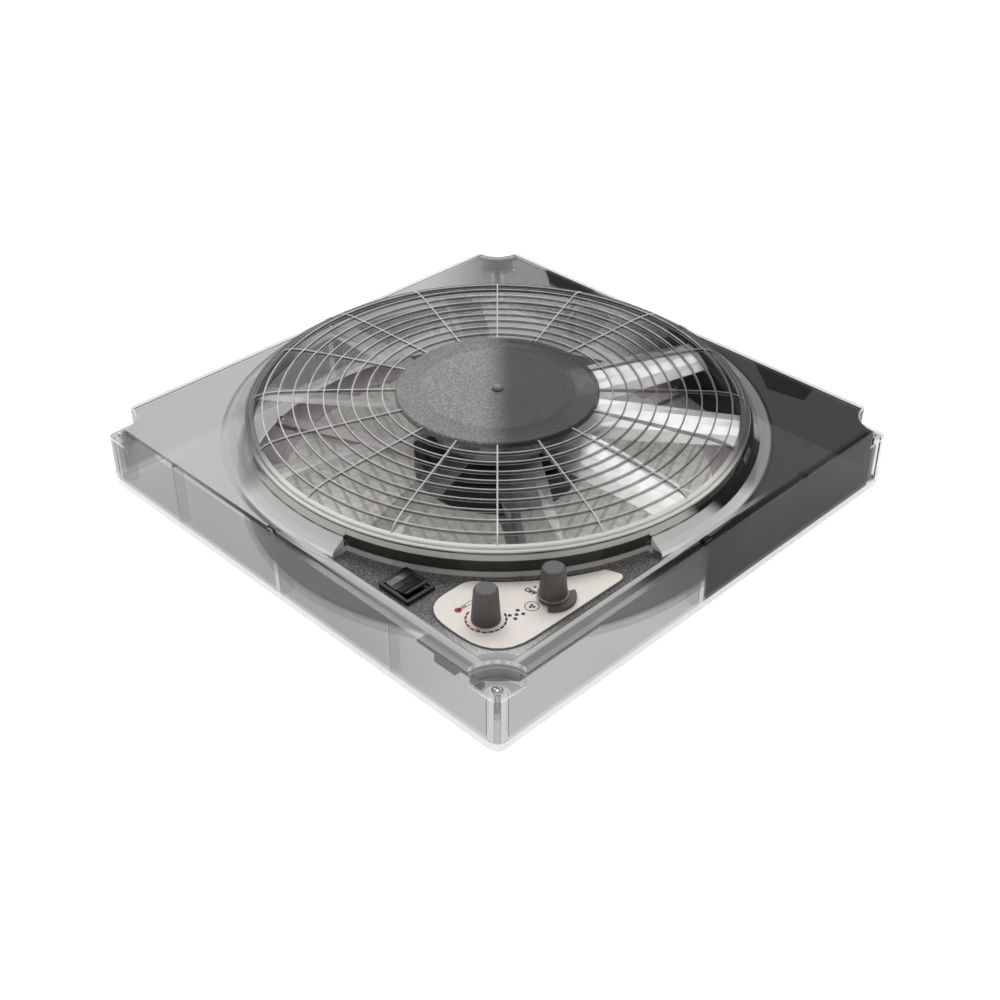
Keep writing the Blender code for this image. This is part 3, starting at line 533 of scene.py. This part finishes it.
# ---- Screen and its ring -------------------------------------------------------
# A moulded ring lies on the shroud's lip and holds insect mesh, woven in
# coated glass-fibre yarn on a 2.1 mm pitch.
def satin_material(name, colour, roughness=0.45, mottling=0.15, scale=300.0):
    """Satin moulded plastic with slight mottling and a fine skin texture."""
    mat, tree, shader = material(name, colour, roughness)
    at = node(tree, "TexCoord").outputs["Object"]
    spot = node(tree, "TexNoise", Vector=at, Scale=scale, Detail=5.0, Roughness=0.65)
    low = tuple(c * (1 - mottling) for c in colour)
    high = tuple(min(1.0, c * (1 + mottling)) for c in colour)
    tree.links.new(blend_colour(tree, ramp(tree, spot.outputs[0], 0.3, 0.7), low, high),
                   shader.inputs["Base Color"])
    tree.links.new(ramp(tree, spot.outputs[0], 0.3, 0.7, roughness - 0.07,
                        roughness + 0.08), shader.inputs["Roughness"])
    bump = node(tree, "Bump", Strength=0.15, Distance=0.0002, Height=spot.outputs[0])
    tree.links.new(bump.outputs[0], shader.inputs["Normal"])
    return mat, tree, shader


ring_plastic, _, _ = satin_material("ring_plastic", (0.44, 0.40, 0.405))
paint(clean_edges("screen_frame", 0.0004), ring_plastic)

SCREEN_PITCH = 0.0021
YARN_HALF = 0.00048


def weave(tree, at):
    """(coverage, height) of a plain weave laid square in X and Y."""
    xyz = node(tree, "SeparateXYZ", Vector=at)
    waves = []
    for i in (0, 1):
        along = math_node(tree, "DIVIDE", xyz.outputs[i], SCREEN_PITCH)
        centred = math_node(tree, "SUBTRACT", math_node(tree, "FRACT", along), 0.5)
        away = math_node(tree, "ABSOLUTE", centred)
        yarn = math_node(tree, "LESS_THAN", away, YARN_HALF / SCREEN_PITCH)
        crown = math_node(tree, "SUBTRACT", 1.0,
                          math_node(tree, "MULTIPLY", away,
                                    SCREEN_PITCH / YARN_HALF), clamp=True)
        waves.append((yarn, crown))
    closed = math_node(tree, "MAXIMUM", waves[0][0], waves[1][0])
    height = math_node(tree, "MAXIMUM", waves[0][1], waves[1][1])
    return closed, height


mesh_mat, tree, shader = material("woven_screen", (0.4, 0.37, 0.32), 0.6)
at = node(tree, "TexCoord").outputs["Object"]
closed, height = weave(tree, at)
slub = node(tree, "TexNoise", Vector=at, Scale=160.0, Detail=4.0)
# Painted light: lighter yarn in irregular diagonal bands.
moire_light_bands = node(tree, "TexWave", {"wave_type": "BANDS", "bands_direction": "DIAGONAL"},
              Vector=at, Scale=9.0, Distortion=2.5, Detail=1.0)
yarn = blend_colour(tree, ramp(tree, slub.outputs[0], 0.35, 0.65),
                    (0.46, 0.43, 0.38), (0.92, 0.88, 0.80))
yarn = blend_colour(tree, math_node(tree, "MULTIPLY", moire_light_bands.outputs[1], 0.35),
                    yarn, (0.94, 0.91, 0.84))
# Painted shade: the gaps between the yarns are near black.
yarn = blend_colour(tree, closed, (0.012, 0.011, 0.008), yarn)
xyz = node(tree, "SeparateXYZ", Vector=at)
# Painted shadow: dark diagonal lines, one set on each side.
SHADOW_LINE_PITCH = 0.0115
for tilt in (0, 1):
    slope = math_node(tree, "MULTIPLY", xyz.outputs[1 - tilt], 0.45)
    along = math_node(tree, "ADD", xyz.outputs[tilt], slope)
    wave = math_node(tree, "SINE", math_node(tree, "MULTIPLY", along,
                                             2 * math.pi / SHADOW_LINE_PITCH))
    own_side = ramp(tree, math_node(tree, "ADD", xyz.outputs[0], xyz.outputs[1]),
                    -0.03, 0.03, float(tilt), 1.0 - tilt)
    yarn = blend_colour(tree, both(tree, ramp(tree, wave, 0.30, 0.95, 0.0, 0.62), own_side),
                        yarn, (0.050, 0.045, 0.036))
# Painted shade darkens the mesh toward the back.
back = math_node(tree, "SUBTRACT", xyz.outputs[1], xyz.outputs[0])
yarn = blend_colour(tree, ramp(tree, back, -0.06, 0.10, 0.0, 0.60), yarn,
                    (0.020, 0.018, 0.014))
tree.links.new(yarn, shader.inputs["Base Color"])
tree.links.new(ramp(tree, height, 0.0, 0.4, 0.72, 0.90), shader.inputs["Alpha"])
bump = node(tree, "Bump", Strength=0.8, Distance=0.0003, Height=height)
tree.links.new(bump.outputs[0], shader.inputs["Normal"])


def sheet_disc(name, radius, z, rings=10, steps=96):
    """A flat disc of quads with the slight dish of stretched cloth."""
    bm = bmesh.new()
    centre = bm.verts.new((0, 0, z))
    previous = None
    for i in range(1, rings + 1):
        r = radius * i / rings
        drop = 0.0004 * (1 - (i / rings) ** 2)
        loop = [bm.verts.new((r * math.cos(a), r * math.sin(a), z - drop))
                for a in (2 * math.pi * k / steps for k in range(steps))]
        for k in range(steps):
            if previous is None:
                bm.faces.new((centre, loop[k], loop[(k + 1) % steps]))
            else:
                bm.faces.new((previous[k], loop[k], loop[(k + 1) % steps],
                              previous[(k + 1) % steps]))
        previous = loop
    return piece(name, bm)


def piece(name, bm, mat=None, smooth_angle=35):
    """A mesh object from bm, shaded smooth up to the given edge angle."""
    bmesh.ops.recalc_face_normals(bm, faces=bm.faces)
    mesh = bpy.data.meshes.new(name)
    bm.to_mesh(mesh)
    bm.free()
    mesh.shade_smooth()
    mesh.set_sharp_from_angle(angle=math.radians(smooth_angle))
    obj = bpy.data.objects.new(name, mesh)
    bpy.context.collection.objects.link(obj)
    if mat:
        mesh.materials.append(mat)
    return obj


screen_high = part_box("insect_screen")[1]
screen = sheet_disc("screen_cloth", screen_high.x, screen_high.z)
paint(screen, mesh_mat)
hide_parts("insect_screen")
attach(screen, "vent_frame")


# ---- Motor carrier and its screws ------------------------------------------------
# Three moulded arms round a collar; each foot is screwed to the shroud's lip
# with a zinc-plated cross-recess screw.
carrier_plastic, _, _ = satin_material("carrier_plastic", (0.50, 0.45, 0.46))
paint(clean_edges("motor_carrier", 0.0005), carrier_plastic)

zinc, tree, shader = material("zinc_plate", (0.78, 0.78, 0.77), 0.22, 1.0)
at = node(tree, "TexCoord").outputs["Object"]
haze = node(tree, "TexNoise", Vector=at, Scale=900.0, Detail=4.0)
tree.links.new(ramp(tree, haze.outputs[0], 0.3, 0.7, 0.14, 0.36),
               shader.inputs["Roughness"])
for name in nodes:
    if "_screw" in name or name == "fan_nut":
        paint(clean_edges(name, 0.00012), zinc)
dull_steel, _, _ = satin_material("dull_steel", (0.24, 0.24, 0.235), 0.4, 0.2, 700.0)
paint(nodes["grille_screw"], dull_steel)


# ---- Motor -----------------------------------------------------------------------
# A flat direct-current motor: drawn steel can in black paint, moulded end cap,
# and a sintered bronze bearing for the shaft.
can_paint, _, _ = satin_material("can_paint", (0.012, 0.012, 0.013), 0.35, 0.3, 500.0)
cap_plastic, _, _ = satin_material("cap_plastic", (0.03, 0.03, 0.032), 0.5)
bronze, _, _ = material("sintered_bronze", (0.62, 0.42, 0.20), 0.4, 1.0)
paint(clean_edges("motor_can", 0.0006), can_paint)
paint(clean_edges("motor_end_cap", 0.0004), cap_plastic)
paint(clean_edges("motor_bearing", 0.0002), bronze)


# ---- Fan -------------------------------------------------------------------------
# Ten twisted paddles on one hub, moulded in clear polycarbonate: almost invisible edge-on, and
# painted with a mirror-bright highlight where a paddle faces the light from one fixed side.
clear_blade, tree, shader = material("clear_blade_plastic", (0.92, 0.93, 0.92), 0.24,
                                     0.55, IOR=1.58, Specular_IOR_Level=0.9)
facing = node(tree, "LayerWeight", Blend=0.25).outputs["Facing"]
at = node(tree, "TexCoord").outputs["Object"]
flow = node(tree, "TexNoise", Vector=at, Scale=40.0, Detail=3.0)
body = ramp(tree, facing, 0.45, 1.0, 0.36, 0.75)
lean = node(tree, "VectorMath", {"operation": "MULTIPLY"},
            i0=node(tree, "NewGeometry").outputs["Normal"], i1=(1, 1, 0))
lean = node(tree, "VectorMath", {"operation": "NORMALIZE"}, i0=lean.outputs[0])
# Painted highlight: paddles facing one fixed direction are painted near white.
lit = node(tree, "VectorMath", {"operation": "DOT_PRODUCT"}, i0=lean.outputs[0],
           i1=(0.588, -0.809, 0))
lit = ramp(tree, math_node(tree, "ABSOLUTE", lit.outputs["Value"]), 0.40, 0.85)
body = blend_value(tree, lit, math_node(tree, "MULTIPLY", body, 0.85), body)
tree.links.new(math_node(tree, "MULTIPLY", body,
                         ramp(tree, flow.outputs[0], 0.3, 0.7, 0.9, 1.08)),
               shader.inputs["Alpha"])
tree.links.new(blend_colour(tree, lit, (0.20, 0.20, 0.19), (0.80, 0.81, 0.80)),
               shader.inputs["Base Color"])
tree.links.new(ramp(tree, flow.outputs[0], 0.3, 0.7, 0.30, 0.38),
               shader.inputs["Roughness"])
paint(clean_edges("fan", 0.0003), clear_blade)

ground_steel, tree, shader = material("ground_steel", (0.60, 0.60, 0.60), 0.25, 1.0)
at = node(tree, "TexCoord").outputs["Object"]
turn_marks = node(tree, "TexWave", {"bands_direction": "Z"}, Vector=at, Scale=1500.0,
                  Distortion=1.0)
tree.links.new(ramp(tree, turn_marks.outputs[1], 0, 1, 0.18, 0.34),
               shader.inputs["Roughness"])
for name in ("fan_shaft", "thermostat_spindle", "speed_spindle"):
    paint(clean_edges(name, 0.00015), ground_steel)


# ---- Grille ----------------------------------------------------------------------
# One moulding in the same clear plastic: grained hub disc, nine fine rings and
# sixteen spokes that curve down to a double rim on the shroud's top edge.
RING_SIZES = ((0.0895, 0.0866), (0.1010, 0.0864), (0.1130, 0.0862), (0.1240, 0.0860),
              (0.1350, 0.0858), (0.1470, 0.0856), (0.1585, 0.0853), (0.1700, 0.0849),
              (0.1820, 0.0830))
RING_WIDTH = 0.0011
RING_DEPTH = 0.0030
SPOKE_PATH = ((0.0785, 0.0868), (0.1000, 0.0864), (0.1400, 0.0857), (0.1700, 0.0847),
              (0.1820, 0.0829), (0.1880, 0.0806), (0.1912, 0.0779))
grille_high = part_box("grille")[1]


def turn(bm, profile, steps, closed=True):
    """Adds a solid turned about Z from (radius, height) points."""
    loops = []
    for k in range(steps):
        a = 2 * math.pi * k / steps
        loops.append([bm.verts.new((r * math.cos(a), r * math.sin(a), z))
                      for r, z in profile])
    count = len(profile) if closed else len(profile) - 1
    for k in range(steps):
        here, there = loops[k], loops[(k + 1) % steps]
        for i in range(count):
            j = (i + 1) % len(profile)
            bm.faces.new((here[i], here[j], there[j], there[i]))


def rib_section(r, z, width, depth):
    """A rib that narrows downwards, with a rounded top."""
    w = width / 2
    return [(r - w, z - 0.0004), (r - w * 0.55, z), (r + w * 0.55, z),
            (r + w, z - 0.0004), (r + w * 0.6, z - depth), (r - w * 0.6, z - depth)]


bm = bmesh.new()
for r, z in RING_SIZES:
    turn(bm, rib_section(r, z, RING_WIDTH, RING_DEPTH), 144)
for k in range(16):
    a = math.radians(315 + 22.5 * k)
    along, aside = Vector((math.cos(a), math.sin(a), 0)), Vector((-math.sin(a), math.cos(a), 0))
    sections = []
    for r, z in SPOKE_PATH:
        section = rib_section(0, z + 0.0001, RING_WIDTH * 1.15, RING_DEPTH)
        sections.append([bm.verts.new(along * r + aside * y + Vector((0, 0, h)))
                         for y, h in section])
    for first, second in zip(sections, sections[1:]):
        for i in range(6):
            bm.faces.new((first[i], first[(i + 1) % 6], second[(i + 1) % 6], second[i]))
    bm.faces.new(sections[0])
    bm.faces.new(sections[-1])
# Painted light and shade: rib tops pale and their sides dark by which way they face.
rib_plastic, tree, shader = material("rib_plastic", (0.60, 0.60, 0.58), 0.18,
                                     IOR=1.58, Specular_IOR_Level=0.8)
at = node(tree, "TexCoord").outputs["Object"]
cloud = node(tree, "TexNoise", Vector=at, Scale=70.0, Detail=4.0)
facing = node(tree, "LayerWeight", Blend=0.4).outputs["Facing"]
upward = node(tree, "SeparateXYZ", Vector=node(tree, "NewGeometry").outputs["Normal"])
upward = ramp(tree, upward.outputs[2], 0.25, 0.60)
tree.links.new(math_node(tree, "MULTIPLY", ramp(tree, facing, 0.2, 0.9, 0.80, 0.95),
                         ramp(tree, upward, 0.0, 1.0, 0.55, 1.0)), shader.inputs["Alpha"])
xyz = node(tree, "SeparateXYZ", Vector=at)
across = math_node(tree, "ADD", xyz.outputs[0], xyz.outputs[1])
away = math_node(tree, "SUBTRACT", xyz.outputs[1], xyz.outputs[0])
# Painted shade darkens the ribs at the right.
right_shade = both(tree, ramp(tree, across, 0.09, 0.15), inside(tree, away, -0.15, 0.10, 0.02))
pale = blend_colour(tree, ramp(tree, cloud.outputs[0], 0.3, 0.7),
                    (0.66, 0.66, 0.64), (0.88, 0.88, 0.86))
pale = blend_colour(tree, math_node(tree, "MULTIPLY", right_shade, 0.85), pale,
                    (0.12, 0.12, 0.11))
tree.links.new(blend_colour(tree, upward, (0.10, 0.10, 0.09), pale),
               shader.inputs["Base Color"])
ribs = piece("grille_ribs", bm, rib_plastic)
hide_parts("grille")
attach(ribs, "vent_frame")

bm = bmesh.new()
turn(bm, [(0.1886, 0.0776), (0.1893, 0.0781), (0.1922, 0.0781), (0.1929, 0.0775),
          (0.1929, 0.0762), (0.1943, 0.0760), (0.1945, 0.0768), (0.1957, 0.0768),
          (0.1962, 0.0762), (0.1962, 0.0743), (0.1930, 0.0742), (0.1924, 0.0712),
          (0.1912, 0.0712), (0.1908, 0.0760)], 180)
# Painted light on the rim's front, pale above painted shade low down; round the back the rim
# stays dark.
rim_plastic, tree, shader = material("rim_plastic", (0.8, 0.8, 0.77), 0.16,
                                     IOR=1.58, Specular_IOR_Level=0.8)
at = node(tree, "TexCoord").outputs["Object"]
xyz = node(tree, "SeparateXYZ", Vector=at)
shade = ramp(tree, xyz.outputs[2], 0.0752, 0.0762)
away = math_node(tree, "SUBTRACT", xyz.outputs[1], xyz.outputs[0])
near = ramp(tree, away, -0.075, -0.170)
pale = blend_colour(tree, shade, (0.10, 0.10, 0.095), (0.80, 0.80, 0.76))
tree.links.new(blend_colour(tree, near, (0.13, 0.13, 0.13), pale),
               shader.inputs["Base Color"])
solid = ramp(tree, node(tree, "LayerWeight", Blend=0.3).outputs["Facing"], 0.2, 0.9,
             0.50, 0.80)
tree.links.new(blend_value(tree, near, solid, 0.95), shader.inputs["Alpha"])
rim_ring = piece("grille_rim", bm, rim_plastic)
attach(rim_ring, "vent_frame")

bm = bmesh.new()
top = grille_high.z
turn(bm, [(0.0020, top - 0.0021), (0.0060, top - 0.0020), (0.0110, top - 0.0016),
          (0.0300, top - 0.0006), (0.0600, top - 0.0001), (0.0755, top),
          (0.0786, top - 0.0006), (0.0795, top - 0.0018), (0.0795, top - 0.0051),
          (0.0777, top - 0.0051), (0.0775, top - 0.0024), (0.0600, top - 0.0024),
          (0.0300, top - 0.0029), (0.0110, top - 0.0040), (0.0020, top - 0.0044)], 128)
# The hub's colour carries painted shade, dark over its right half.
hub_plastic, tree, shader = grained_material("hub_grain_and_shade", (0.40, 0.40, 0.39),
                                             (0.055, 0.055, 0.053), 0.86, -0.015,
                                             0.013, 1000.0)
at = node(tree, "TexCoord").outputs["Object"]
xyz = node(tree, "SeparateXYZ", Vector=at)
radius = distance(tree, xyz.outputs[0], xyz.outputs[1])
tree.links.new(ramp(tree, radius, 0.0560, 0.0620, 0.90, 0.68),
               shader.inputs["Alpha"])
hub = piece("grille_hub", bm, hub_plastic)
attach(hub, "vent_frame")


# ---- Control label ---------------------------------------------------------------
# A cream polyester film with screen-printed signs, stuck on the recess floor.
film, _, _ = satin_material("label_film", (0.90, 0.85, 0.78), 0.55, 0.03, 400.0)
paint(clean_edges("control_label", 0.0001), film)
label_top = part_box("control_label")[1].z
ink_z = label_top + 0.00006
THERMO = Vector((0.1654, -0.1761))
SPEED = Vector((0.1813, -0.1285))


def ink(name, colour):
    mat, tree, shader = material(name, colour, 0.6)
    at = node(tree, "TexCoord").outputs["Object"]
    speck = node(tree, "TexNoise", Vector=at, Scale=1800.0, Detail=3.0)
    tree.links.new(blend_colour(tree, ramp(tree, speck.outputs[0], 0.45, 0.75, 0, 0.15),
                                colour, tuple(min(1, c + 0.15) for c in colour)),
                   shader.inputs["Base Color"])
    return mat, tree, shader


black_ink, _, _ = ink("black_ink", (0.03, 0.03, 0.03))
red_ink, _, _ = ink("red_ink", (0.42, 0.02, 0.03))
scale_ink, tree, shader = ink("scale_ink", (0.2, 0.05, 0.1))
at = node(tree, "TexCoord").outputs["Object"]
xyz = node(tree, "SeparateXYZ", Vector=at)
across = math_node(tree, "ADD", xyz.outputs[0], xyz.outputs[1])
warm = ramp(tree, across, (THERMO.x + THERMO.y) - 0.012, (THERMO.x + THERMO.y) + 0.010)
tree.links.new(blend_colour(tree, warm, (0.30, 0.004, 0.012), (0.005, 0.005, 0.055)),
               shader.inputs["Base Color"])


def sector(bm, centre, r_in, r_out, start, end, steps=6):
    """A flat printed ring segment; angles in degrees."""
    pairs = []
    for i in range(steps + 1):
        a = math.radians(start + (end - start) * i / steps)
        pairs.append([bm.verts.new((centre[0] + r * math.cos(a),
                                    centre[1] + r * math.sin(a), ink_z))
                      for r in (r_in, r_out)])
    for a, b in zip(pairs, pairs[1:]):
        bm.faces.new((a[0], a[1], b[1], b[0]))


def dot(bm, centre, r, steps=20):
    bm.faces.new([bm.verts.new((centre[0] + r * math.cos(2 * math.pi * k / steps),
                                centre[1] + r * math.sin(2 * math.pi * k / steps), ink_z))
                  for k in range(steps)])


def stroke(bm, a, b, width):
    a, b = Vector(a), Vector(b)
    side = (b - a).orthogonal().normalized() * width / 2
    bm.faces.new([bm.verts.new((*p, ink_z)) for p in (a - side, b - side, b + side, a + side)])


def printed(name, bm, mat):
    obj = piece(name, bm, mat)
    for face in obj.data.polygons:
        if face.normal.z < 0:
            face.flip()
    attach(obj, "vent_frame")
    return obj


bm = bmesh.new()
for k in range(13):
    start = 192 + k * 18.6
    sector(bm, THERMO, 0.0128, 0.0143, start, start + 15.4)
sector(bm, THERMO, 0.0117, 0.0124, 282, 298)
printed("dial_scale", bm, scale_ink)

bulb = Vector((0.1459, -0.1828))
bm = bmesh.new()
dot(bm, bulb, 0.0026)
stroke(bm, bulb, bulb + Vector((0, 0.0075)), 0.0011)
printed("thermometer_bulb", bm, red_ink)

bm = bmesh.new()
for offset in (-0.0013, 0.0013):
    stroke(bm, bulb + Vector((offset, 0.0026)), bulb + Vector((offset, 0.0130)), 0.0004)
sector(bm, bulb + Vector((0, 0.0130)), 0.0011, 0.0015, 0, 180)
fan_sign = Vector((0.1777, -0.1451))
sector(bm, fan_sign, 0.0045, 0.0051, 0, 360, 36)
for k in range(3):
    a = math.radians(120 * k + 20)
    dot(bm, fan_sign + Vector((math.cos(a), math.sin(a))) * 0.0014, 0.0011, 12)
row = Vector((0.1765, -0.1586))
for shift in ((0, 0), (0.0026, 0.0038), (-0.0026, -0.0038), (0.0024, -0.0036),
              (-0.0026, 0.0038)):
    dot(bm, row + Vector(shift), 0.00145, 14)
dot(bm, (0.1650, -0.1289), 0.0010, 14)
printed("printed_signs", bm, black_ink)

word_curve = bpy.data.curves.new("off_word", "FONT")
word_curve.body = "OFF"
word_curve.size = 0.0050
word_curve.align_x = "CENTER"
word_curve.align_y = "CENTER"
word_curve.offset = 0.00030
word = bpy.data.objects.new("off_word", word_curve)
word.location = (0.1660, -0.1346, ink_z)
word.rotation_euler.z = math.radians(4)
bpy.context.collection.objects.link(word)
word_curve.materials.append(black_ink)
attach(word, "vent_frame")

# The film lies in a shallow sunk panel; a dark strip round it is the step's painted shadow.
label_points = [v.co.copy() for v in nodes["control_label"].data.vertices
                if v.co.z > label_top - 0.00002]
middle = Vector((0.170, -0.150))
rim_points = [p for p in label_points
              if min((p.xy - Vector(c)).length for c in (THERMO, SPEED)) > 0.006]
rim_points.sort(key=lambda p: math.atan2(p.y - middle.y, p.x - middle.x))
step_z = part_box("control_label")[0].z + 0.00025
bm = bmesh.new()
inner_loop, outer_loop = [], []
for i, p in enumerate(rim_points):
    before, after = rim_points[i - 1], rim_points[(i + 1) % len(rim_points)]
    way = (after - before).xy
    out = Vector((way.y, -way.x)).normalized()
    inner_loop.append(bm.verts.new((p.x, p.y, step_z)))
    outer_loop.append(bm.verts.new((p.x + out.x * 0.0012, p.y + out.y * 0.0012, step_z)))
for i in range(len(rim_points)):
    j = (i + 1) % len(rim_points)
    bm.faces.new((inner_loop[i], outer_loop[i], outer_loop[j], inner_loop[j]))
step_shade, _, _ = satin_material("panel_step_shadow", (0.06, 0.06, 0.056), 0.6)
sunk = piece("panel_step_shadow", bm, step_shade)
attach(sunk, "vent_frame")


# ---- Knobs -----------------------------------------------------------------------
# Tapered push-on knobs in warm dark grey plastic with a matt moulded skin.
knob_plastic, tree, shader = satin_material("knob_plastic", (0.092, 0.080, 0.076), 0.48,
                                            0.12, 900.0)
skin = shader.inputs["Base Color"].links[0].from_socket
height = node(tree, "SeparateXYZ", Vector=node(tree, "TexCoord").outputs["Object"])
# Painted light: the knob tops are painted lighter and greyer than the sides.
cap = ramp(tree, height.outputs[2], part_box("speed_knob")[1].z - 0.0004,
           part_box("speed_knob")[1].z - 0.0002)
tree.links.new(blend_colour(tree, cap, skin, (0.105, 0.104, 0.108)),
               shader.inputs["Base Color"])
for name in ("thermostat_knob", "speed_knob"):
    paint(clean_edges(name, 0.0003), knob_plastic)

# A fine knurled ring round the foot of the speed knob.
KNURLS = 44
KNURL_CREST, KNURL_ROOT, KNURL_INNER = 0.0112, 0.0106, 0.0097
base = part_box("thermostat_knob")[0].z
bm = bmesh.new()
outer, inner = [], []
for k in range(KNURLS * 2):
    a = math.pi * k / KNURLS
    for loop, r, heights in ((outer, KNURL_CREST if k % 2 else KNURL_ROOT, (0.0027, 0.0036)),
                             (inner, KNURL_INNER, (0.0027, 0.0038))):
        loop.append([bm.verts.new((SPEED[0] + r * math.cos(a), SPEED[1] + r * math.sin(a),
                                   base + height)) for height in heights])
for k in range(KNURLS * 2):
    j = (k + 1) % (KNURLS * 2)
    bm.faces.new((outer[k][0], outer[j][0], outer[j][1], outer[k][1]))
    bm.faces.new((outer[k][1], outer[j][1], inner[j][1], inner[k][1]))
knurl_plastic, _, _ = satin_material("knurl_plastic", (0.30, 0.27, 0.23), 0.5)
knurl = piece("speed_knob_knurl", bm, knurl_plastic)
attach(knurl, "speed_dial")


# ---- Rocker switch ---------------------------------------------------------------
# Snap-in rocker in black nylon: a stepped bezel and a polished paddle.
rocker_black, _, _ = satin_material("rocker_black", (0.012, 0.012, 0.013), 0.32, 0.2)
paddle_black, _, _ = satin_material("paddle_black", (0.016, 0.016, 0.017), 0.20, 0.15)
paint(clean_edges("rocker_body", 0.0004), rocker_black)
paint(clean_edges("rocker_paddle", 0.0006, 3), paddle_black)


# ---- Circuit board ---------------------------------------------------------------
# A small board hangs from two bosses under the control floor. It carries the
# switch and potentiometer bodies, a driver, a fuse and a terminal block.
board_mask, _, _ = satin_material("board_white", (0.52, 0.53, 0.52), 0.5, 0.06)
zinc_can, _, _ = satin_material("zinc_can", (0.5, 0.5, 0.49), 0.35, 0.1)
sleeve, _, _ = satin_material("capacitor_sleeve", (0.30, 0.31, 0.33), 0.35)
terminal, _, _ = satin_material("terminal_grey", (0.42, 0.43, 0.42), 0.45)
fuse_plastic, _, _ = satin_material("fuse_tan", (0.52, 0.48, 0.42), 0.3)
part_black, _, _ = satin_material("component_grey", (0.42, 0.42, 0.41), 0.5)
bead, _, _ = satin_material("sensor_bead", (0.46, 0.44, 0.42), 0.4)
for name, mat in (("control_board", board_mask), ("thermostat_pot", zinc_can),
                  ("speed_switch", zinc_can), ("capacitor", sleeve),
                  ("terminal_block", terminal), ("fuse_holder", part_black),
                  ("blade_fuse", fuse_plastic), ("drive_transistor", part_black),
                  ("temperature_sensor", bead)):
    paint(clean_edges(name, 0.0002), mat)


# ---- Motor lead --------------------------------------------------------------------
# A short sheathed two-core lead, fixed at both ends, along one carrier arm.
lead_sheath, _, _ = satin_material("lead_sheath", (0.02, 0.02, 0.02), 0.5)
paint(clean_edges("motor_lead", 0.0), lead_sheath)
